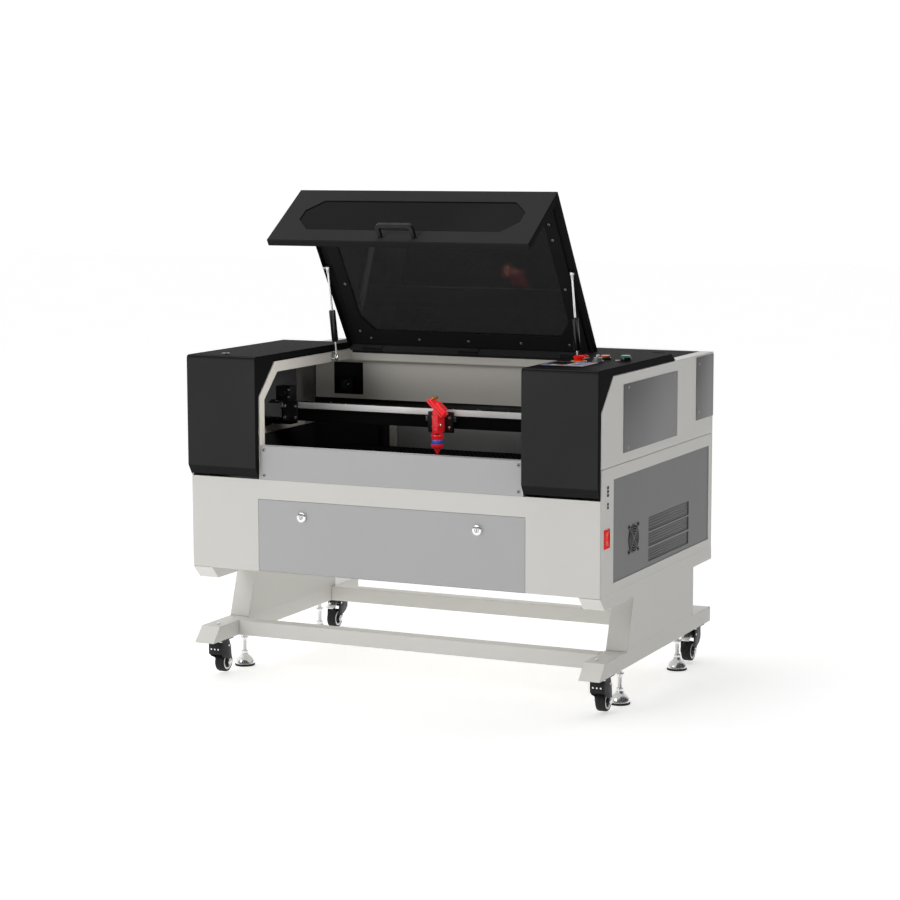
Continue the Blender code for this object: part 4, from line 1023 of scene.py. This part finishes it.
def build_head():
    """Carriage, red head with its tilted mirror block, and the focusing nozzle."""
    x, y = HEAD_X, HEAD_Y
    carriage = Piece("head_carriage_detail")
    face, bracket = -0.1408, -0.1312
    carriage.add(block((x - 0.0413, face, 0.666), (x + 0.0308, GANTRY_FRONT, 0.721), 0.0022, 3),
                 BLACK_PLASTIC)
    carriage.add(block((x - 0.053, bracket, 0.693), (x + 0.0375, -0.1294, 0.709), 0.0005),
                 BLACK_PLASTIC)
    for dx in (-0.049, 0.0332):
        for z in (0.7046, 0.6974):
            screw(carriage, (x + dx, bracket, z), FORWARD, radius=0.0027, height=0.002)
    for dx in (-0.0262, 0.0218):
        for z in (0.706, 0.68):
            screw(carriage, (x + dx, face, z), FORWARD, radius=0.0042, height=0.0024)
    carriage.finish("carriage", "black_plastic", ["head_carriage"])

    head = Piece("laser_head_detail")
    head.add(slab([oblong(x - 0.0082, x + 0.0082, y - 0.015, face - GAP)], (0.668, 0.713),
                  "XY", bevel=0.001, steps=3), RED)
    head.add(pad(x, y, 0.008, 0.013, 0.712, 0.73, 0.001), RED)
    tilt = at(x - 0.001, y, 0.734) @ spun(radians(45), "Y")
    for low, high, bevel, material in (
            ((-0.03, -0.016, -0.004), (0.03, 0.016, 0.0014), 0.0009, RED),
            ((-0.028, -0.0142, 0.0012), (0.028, 0.0142, 0.0028), 0.0, BLACK_PLASTIC),
            ((-0.03, -0.016, 0.0026), (0.03, 0.016, 0.008), 0.0009, RED),
            ((-0.008, -0.012, 0.0078), (0.02, 0.013, 0.016), 0.001, RED)):
        head.add(block(low, high, bevel, 3), material, tilt)
    knobs = ((-0.0235, -0.0095, 0.008, 0.0045, 0.01, BRASS),
             (-0.0235, 0.0095, 0.008, 0.0045, 0.01, BRASS),
             (0.006, -0.006, 0.016, 0.0034, 0.003, BRASS),
             (0.025, -0.009, 0.008, 0.0045, 0.008, RED))
    for dx, dy, base, radius, height, material in knobs:
        profile = [(0, height), (radius * 0.86, height), (radius, height - 0.0006),
                   (radius, height * 0.35), (radius * 0.9, height * 0.3), (radius * 0.9, 0),
                   (0, 0)]
        head.add(lathe(profile, 28), material, tilt @ at(dx, dy, base))
    head.add(lathe(disc(0.0036, 0.0042, 0.0062, 0.0055), 28), CHROME,
             aim((x + 0.0082, y - 0.003, 0.69), RIGHT))
    for z in (0.678, 0.702):
        screw(head, (x, y - 0.015, z), FORWARD, radius=0.0022, height=0.001)
    head.finish("carriage", "red_anodised", ["laser_head"])

    nozzle = Piece("nozzle_detail")
    place = at(x, y, 0)
    nozzle.add(lathe(drum(0.0058, 0.69, 0.665), 40), DARK_LINER, place)
    upper_collar = [(0, 0.6645), (0.0165, 0.6645), (0.017, 0.6637), (0.017, 0.6587),
                    (0.0165, 0.658), (0.0146, 0.6575), (0.0146, 0.6503), (0, 0.6503)]
    band = [(0, 0.6503), (0.0148, 0.6503), (0.0151, 0.6497), (0.0151, 0.6401),
            (0.0148, 0.6395), (0, 0.6395)]
    tip = [(0, 0.6325), (0.0148, 0.6325), (0.014, 0.6306), (0.0112, 0.629), (0.0098, 0.6272),
           (0.005, 0.6178), (0.003, 0.6136), (0.0025, 0.6128), (0.0012, 0.6126),
           (0.0012, 0.615), (0, 0.615)]
    nozzle.add(lathe(upper_collar, 48), RED, place)
    nozzle.add(lathe(band, 48), BLUE_BAND, place)
    knurl = bmesh.new()
    teeth = 60
    rings = []
    for z, reach in ((0.6395, 0.015), (0.6388, 0.016), (0.6326, 0.016), (0.6318, 0.015)):
        ring = []
        for k in range(teeth * 2):
            radius = reach + (0.0005 if k % 2 else 0.0)
            angle = pi * k / teeth
            ring.append(knurl.verts.new((radius * cos(angle), radius * sin(angle), z)))
        rings.append(ring)
    for upper, lower in zip(rings, rings[1:]):
        for k in range(teeth * 2):
            n = (k + 1) % (teeth * 2)
            knurl.faces.new((upper[k], lower[k], lower[n], upper[n]))
    knurl.faces.new(rings[0])
    knurl.faces.new(rings[-1][::-1])
    nozzle.add(knurl, RED, place)
    nozzle.add(lathe(tip, 48), RED, place)
    nozzle.finish("nozzle", "red_anodised", ["nozzle"])


# ---------------------------------------------------------------- lid
def build_lid_details():
    """Window screws and hinge leaves inside the lid, in the closed lid's coordinates."""
    fasteners = Piece("lid_screws")
    spots = [(x, 0.056) for x in (-0.296, -0.148, 0.0, 0.155, 0.296)]
    for x in (-0.324, 0.324):
        spots += [(x, 0.0875 - s) for s in (0.055, 0.216, 0.374, 0.423)]
    spots += [(x, -0.399) for x in (-0.22, 0.0, 0.22)]
    for x, y in spots:
        screw(fasteners, OPEN_LID @ Vector((x, y, LID_INNER_Z)), opened_direction((0, 0, -1)),
              radius=0.0038, height=0.002, material=SATIN)
    for x in (-0.26, -0.09, 0.09, 0.26):
        for z in (0.679, 0.846):
            screw(fasteners, OPEN_LID @ Vector((x, LID_INNER_Y, z)), opened_direction((0, 1, 0)),
                  radius=0.0034, height=0.0018, material=SATIN)
    fasteners.finish("lid", "chrome")

    retainers = Piece("lid_window_frames")
    border = oblong(-0.3455, 0.3455, -0.413, 0.078)
    hole = octagon(0.3102, -0.3822, 0.0302, 0.035, 0.05)
    retainers.add(slab([border, hole], (LID_INNER_Z, 0.8706), "XY"), BLACK, OPEN_LID)
    border = oblong(-0.362, 0.362, 0.656, 0.864)
    hole = octagon(0.3132, 0.6973, 0.8277, 0.04, 0.044)
    retainers.add(slab([border, hole], (-0.428, LID_INNER_Y), "XZ"), BLACK, OPEN_LID)
    stud = [(0, 0.01), (0.0034, 0.01), (0.004, 0.006), (0.004, 0.0018), (0.0075, 0.0018),
            (0.0075, 0.0), (0, 0.0)]
    for side, _ in SIDES:
        spot = OPEN_LID @ Vector((side * 0.366, STRUT_BALL_Y, STRUT_BALL_Z))
        retainers.add(lathe(stud, 24), STEEL, aim(spot, (-side, 0, 0)))
    retainers.finish("lid", "black_paint")

    leaves = Piece("hinge_leaves_frame")
    tops = Piece("hinge_leaves_lid")
    leaves.add(block((-0.366, 0.1004, 0.8458), (0.366, 0.1018, 0.8534), 0.0003), BLACK)
    leaves.add(block((-0.366, 0.089, 0.8531), (0.366, 0.1268, 0.8541), 0.0003), BLACK)
    for low, high in ((-0.366, -0.3285), (-0.2655, -0.0365), (0.0265, 0.2655),
                      (0.3285, 0.366)):
        leaves.add(block((low, 0.0885, 0.8531), (high, 0.09, 0.8585)), BLACK)
    for x in (-0.297, -0.005, 0.297):
        for dx in (-0.0065, 0.0065):
            screw(leaves, (x + dx, 0.112, 0.8541), UP, radius=0.0026, height=0.0012,
                  material=SATIN)
        for index in range(5):
            start = x - 0.03 + 0.012 * index
            target = leaves if index % 2 == 0 else tops
            rod(target, (start + 0.0002, 0.0875, 0.8552), (start + 0.0118, 0.0875, 0.8552),
                0.0029, BLACK, 20)
        for y_high, z_low, z_high in ((0.0832, 0.8575, 0.872), (0.0875, 0.8562, 0.8574)):
            tops.add(block((x - 0.03, 0.0812, z_low), (x + 0.03, y_high, z_high), 0.0003),
                     BLACK, OPEN_LID)
    leaves.finish("frame", "black_paint")
    tops.finish("lid", "black_paint")

    pads = Piece("handle_feet")
    for side, _ in SIDES:
        spot = OPEN_LID @ Vector((side * 0.0475, -0.4333, 0.67))
        pads.add(lathe(disc(0.0078, 0.0086, 0.0018, 0.0008), 28), BLACK_PLASTIC,
                 aim(spot, opened_direction(FORWARD)))
    pads.finish("lid", "black_plastic")


def build_struts():
    """Gas struts: tube, rod with its upper ball socket, and the lower ball's bracket."""
    tube_body = [(0, 0.137), (0.0045, 0.137), (0.0072, 0.1366), (0.0086, 0.1352),
                 (0.009, 0.1334), (0.009, 0.053), (0.0084, 0.0508), (0.0066, 0.0484),
                 (0.005, 0.0478), (0, 0.0478)]
    stem = [(0, 0.049), (0.0042, 0.049), (0.0042, 0.044), (0.0032, 0.043), (0.003, 0.008),
            (0, 0.008)]
    socket = [(0, 0.0115), (0.004, 0.0115), (0.0056, 0.008), (0.0062, 0.004),
              (0.0062, -0.004), (0.005, -0.006), (0, -0.0064)]
    upper_socket = ((0, 0.0058), (0.0034, 0.0054), (0.0055, 0.003), (0.0058, -0.003),
                    (0.0046, -0.007), (0.0038, -0.016), (0, -0.016))
    lower_ball = [(0, 0.0095), (0.0036, 0.0095), (0.0036, 0.003), (0.0062, 0.003),
                  (0.0062, 0.0), (0, 0.0)]
    for side, name in SIDES:
        x = side * 0.3572
        foot = Vector((x, STRUT_FOOT_Y, STRUT_FOOT_Z))
        head = opened((x, STRUT_BALL_Y, STRUT_BALL_Z))
        length = (head - foot).length
        place = aim(foot, head - foot)
        tube = Piece(f"strut_tube_{name}_detail")
        tube.add(lathe(tube_body, 40), GLOSS_BLACK, place)
        tube.add(lathe(stem, 28), CHROME, place)
        tube.add(lathe(socket, 28), CHROME, place)
        tube.finish(f"strut_tube_{name}", "black_plastic", [f"strut_tube_{name}"])

        piston = Piece(f"strut_rod_{name}_detail")
        piston.add(lathe(drum(0.003, length - 0.006, 0.131), 28), CHROME, place)
        piston.add(lathe([(r, length + h) for r, h in upper_socket], 28), CHROME, place)
        piston.finish(f"strut_rod_{name}", "chrome", [f"strut_rod_{name}"])

        mount = Piece(f"strut_bracket_{name}")
        inward = (-side, 0, 0)
        wall_x = side * 0.3712
        plate_x = wall_x - side * 0.0018
        mount.add(slab([oblong(STRUT_FOOT_Y - 0.013, STRUT_FOOT_Y + 0.013, 0.83, 0.854)],
                       (wall_x, plate_x), "YZ", bevel=0.0004), STEEL)
        mount.add(lathe(lower_ball, 24), CHROME,
                  aim((wall_x - side * 0.0016, STRUT_FOOT_Y, STRUT_FOOT_Z), inward))
        for dy in (-0.0092, 0.0092):
            screw(mount, (plate_x, STRUT_FOOT_Y + dy, 0.85), inward, radius=0.0022,
                  height=0.001)
        mount.finish("frame", "caster_steel")


# ---------------------------------------------------------------- controls
def collar(piece, spot, inner, outer, height, material):
    """Bezel ring that a button's cap slides in."""
    profile = [(inner, height), (outer * 0.94, height), (outer, height * 0.74), (outer, 0.0001),
               (inner, 0.0001)]
    piece.add(lathe(profile, 40, closed=True), material, at(*spot, HOOD_TOP))


def build_controls():
    """Buttons, key switch, lock discs and the control panel on the hoods."""
    top = HOOD_TOP
    stop_spot, orange_spot, green_spot = (0.4426, -0.2195), (0.478, -0.1255), (0.54, -0.1445)
    key_spot, reset_spot = (0.49, -0.2095), (0.4215, -0.1245)
    bezels = Piece("control_bezels")
    collar(bezels, stop_spot, 0.0124, 0.0205, 0.0032, YELLOW_PLASTIC)
    collar(bezels, orange_spot, 0.0126, 0.015, 0.0048, GLOSS_BLACK)
    collar(bezels, green_spot, 0.0126, 0.0146, 0.0088, GLOSS_BLACK)
    collar(bezels, key_spot, 0.0114, 0.0142, 0.0048, SATIN)
    for x, y, radius in ((0.526, -0.1625, 0.008), (-0.49, -0.382, 0.0115)):
        lock_face = [(0, 0.003), (radius * 0.8, 0.003), (radius * 0.96, 0.0022),
                     (radius, 0.0001), (0, 0.0001)]
        place = at(x, y, top)
        bezels.add(lathe(lock_face, 36), SATIN if x > 0 else GLOSS_BLACK, place)
        bezels.add(lathe(disc(0.004, 0.0044, 0.0034, 0.003, 0.0026), 28), SATIN, place)
        bezels.add(pad(x, y, 0.003, 0.0005, top + 0.003, top + 0.0037), BLACK_PLASTIC)
    reset = at(*reset_spot, top)
    bezels.add(lathe(disc(0.01, 0.0106, 0.004, 0.003, 0.0001), 36), WHITE_PLASTIC, reset)
    reset_cap = [(0, 0.0088), (0.0078, 0.0086), (0.0094, 0.0076), (0.0097, 0.006),
                 (0.0094, 0.0038), (0, 0.0038)]
    bezels.add(lathe(reset_cap, 36), RED_PLASTIC, reset)
    bezels.finish("frame", "black_plastic")

    stop = Piece("e_stop_detail")
    place = at(*stop_spot, top)
    mushroom = [(0, 0.017), (0.0052, 0.0169), (0.0098, 0.0164), (0.0128, 0.0149),
                (0.0139, 0.0124), (0.0137, 0.0103), (0.0122, 0.0088), (0.0113, 0.0078),
                (0.0113, 0.0053), (0.0104, 0.0052), (0.0104, -0.016), (0, -0.016)]
    stop.add(lathe(mushroom, 56), RED_PLASTIC, place)
    ribs = 24
    for index in range(ribs):
        rib = block((0.0134, -0.0008, 0.0106), (0.0142, 0.0008, 0.013), 0.0002)
        stop.add(rib, RED_PLASTIC, place @ spun(2 * pi * index / ribs))
    stop.finish("e_stop", "red_plastic", ["e_stop"])

    for node, spot, height, colour, slot in (
            ("button_orange", orange_spot, 0.0105, ORANGE_PLASTIC, "orange_plastic"),
            ("button_green", green_spot, 0.014, GREEN_PLASTIC, "green_plastic")):
        button = Piece(f"{node}_detail")
        cap = [(0, height - 0.0006), (0.0082, height - 0.0004), (0.01, height),
               (0.0115, height - 0.0003), (0.0122, height - 0.0012), (0.0122, 0.0053),
               (0.0084, 0.0052), (0.0084, -0.016), (0, -0.016)]
        button.add(lathe(cap, 44), colour, at(*spot, top))
        button.finish(node, slot, [node])

    key = Piece("key_switch_detail")
    x, y = key_spot
    key.add(lathe([(0, 0.0112), (0.004, 0.0112), (0.0042, 0.012), (0.0098, 0.012),
                   (0.0108, 0.011), (0.011, 0.0096), (0.011, 0.0053), (0.0084, 0.0052),
                   (0.0084, -0.016), (0, -0.016)], 44), SATIN, at(x, y, top))
    bow = [(0.0035, 0.011), (0.0035, 0.0126), (0.0078, 0.0134), (0.0106, 0.0152),
           (0.01, 0.0175), (0.005, 0.0189)]
    bow_loop = [(y + u, top + v) for u, v in bow] + [(y - u, top + v) for u, v in reversed(bow)]
    key.add(slab([bow_loop, circle(y, top + 0.0164, 0.0014, 16)], (x - 0.0011, x + 0.0011), "YZ",
                 bevel=0.0003), STEEL)
    key.finish("key_switch", "chrome", ["key_switch"])

    low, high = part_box("control_panel")
    panel = Piece("control_panel_detail")
    panel.add(block(low, (high.x, high.y, high.z - 0.0008), 0.0012, 3), BLACK_PLASTIC)
    panel.add(block((low.x + 0.0022, low.y + 0.0022, high.z - 0.0014),
                    (high.x - 0.0022, high.y - 0.0022, high.z - 0.0004), 0.0006), SILVER_PANEL)
    screen_low, screen_high = low.x + 0.007, low.x + 0.062
    panel.add(block((screen_low, low.y + 0.03, high.z - 0.0008),
                    (screen_high, high.y - 0.008, high.z - 0.0002), 0.0003), GLOSS_BLACK)
    palette = (BLUE_PLASTIC, BLUE_PLASTIC, KEY_RED, WHITE_PLASTIC, KEY_GREEN, BLUE_PLASTIC,
               PINK_PLASTIC, BLUE_PLASTIC, KEY_RED, WHITE_PLASTIC, BLUE_PLASTIC, KEY_GREEN)
    caps = [(low.x + 0.073 + 0.0165 * (index % 3), high.y - 0.016 - 0.0225 * (index // 3),
             colour) for index, colour in enumerate(palette)]
    caps += [(low.x + 0.016 + 0.0185 * index, low.y + 0.017, colour)
             for index, colour in enumerate((BLUE_PLASTIC, WHITE_PLASTIC, KEY_RED))]
    for x, y, colour in caps:
        panel.add(pad(x, y, 0.0062, 0.0062, high.z - 0.0008, high.z, 0.0004), colour)
    panel.finish("frame", "silver_panel", ["control_panel"])


# ---------------------------------------------------------------- stage, lights, camera
def build_stage():
    """Wide pale floor under the machine."""
    ground = bmesh.new()
    bmesh.ops.create_grid(ground, x_segments=2, y_segments=2, size=22.0)
    mesh = bpy.data.meshes.new("floor")
    ground.to_mesh(mesh)
    ground.free()
    floor = bpy.data.objects.new("floor", mesh)
    bpy.context.scene.collection.objects.link(floor)
    look = Finish("pale_floor", (0.88, 0.88, 0.88), 0.75)
    look.tint(look.noise(1.5, 3.0), 0.008)
    look.rough(look.noise(30, 3.0), 0.05)
    look.set("Specular IOR Level", 0.2)
    look.glow((1.0, 1.0, 1.0), 0.47)
    mesh.materials.append(look.material)


def build_world():
    """White studio: brightest behind and to the left, so the right side falls into soft shade."""
    world = bpy.data.worlds.new("studio")
    world.use_nodes = True
    bpy.context.scene.world = world
    tree = world.node_tree
    background = tree.nodes["Background"]
    background.inputs["Color"].default_value = (1.0, 1.0, 1.0, 1.0)
    direction = tree.nodes.new("ShaderNodeTexCoord").outputs["Generated"]
    brightest = (-0.62, 0.62, 0.48)
    towards = add_node(tree, "ShaderNodeVectorMath", direction, brightest,
                       operation="DOT_PRODUCT").outputs["Value"]
    fill(tree, background.inputs["Strength"], map_range(tree, towards, 0.0, 0.62, 0.02, 1.02))


def soft_light(name, place, target, size, power, spread=180):
    """Rectangular lamp aimed at a point, out of the camera's sight."""
    data = bpy.data.lights.new(name, "AREA")
    data.shape = "RECTANGLE"
    data.size, data.size_y = size
    data.energy = power
    data.spread = radians(spread)
    lamp = bpy.data.objects.new(name, data)
    bpy.context.scene.collection.objects.link(lamp)
    lamp.location = place
    lamp.visible_camera = False
    lamp.rotation_euler = (Vector(target) - Vector(place)).to_track_quat("-Z", "Y").to_euler()


def build_camera():
    """The photo's viewpoint."""
    data = bpy.data.cameras.new("camera")
    data.lens = 93.85
    data.sensor_width = 36.0
    camera = bpy.data.objects.new("camera", data)
    bpy.context.scene.collection.objects.link(camera)
    camera.location = (2.6394, -5.7044, 1.4145)
    camera.rotation_euler = Euler((radians(82.635), radians(0.124), radians(24.971)))
    bpy.context.scene.camera = camera


build_stage()
build_world()
soft_light("key", (-2.1, -4.9, 3.0), (0, 0, 0.7), (3.0, 2.6), 96)
soft_light("top", (0.3, 0.2, 4.2), (0, 0, 0.8), (3.0, 3.0), 12)
soft_light("opening", (0.33, -0.34, 0.96), (-0.4, -0.36, 0.72), (0.15, 0.15), 0.6, spread=80)
build_camera()
bpy.context.scene.view_settings.view_transform = "Standard"

build_running_gear()
build_side_panels()
build_vents()
build_side_fittings()
build_stand_seams()
build_door_locks()
build_chamber()
build_bed()
build_tube()
build_gantry()
build_head()
build_lid_details()
build_struts()
build_controls()
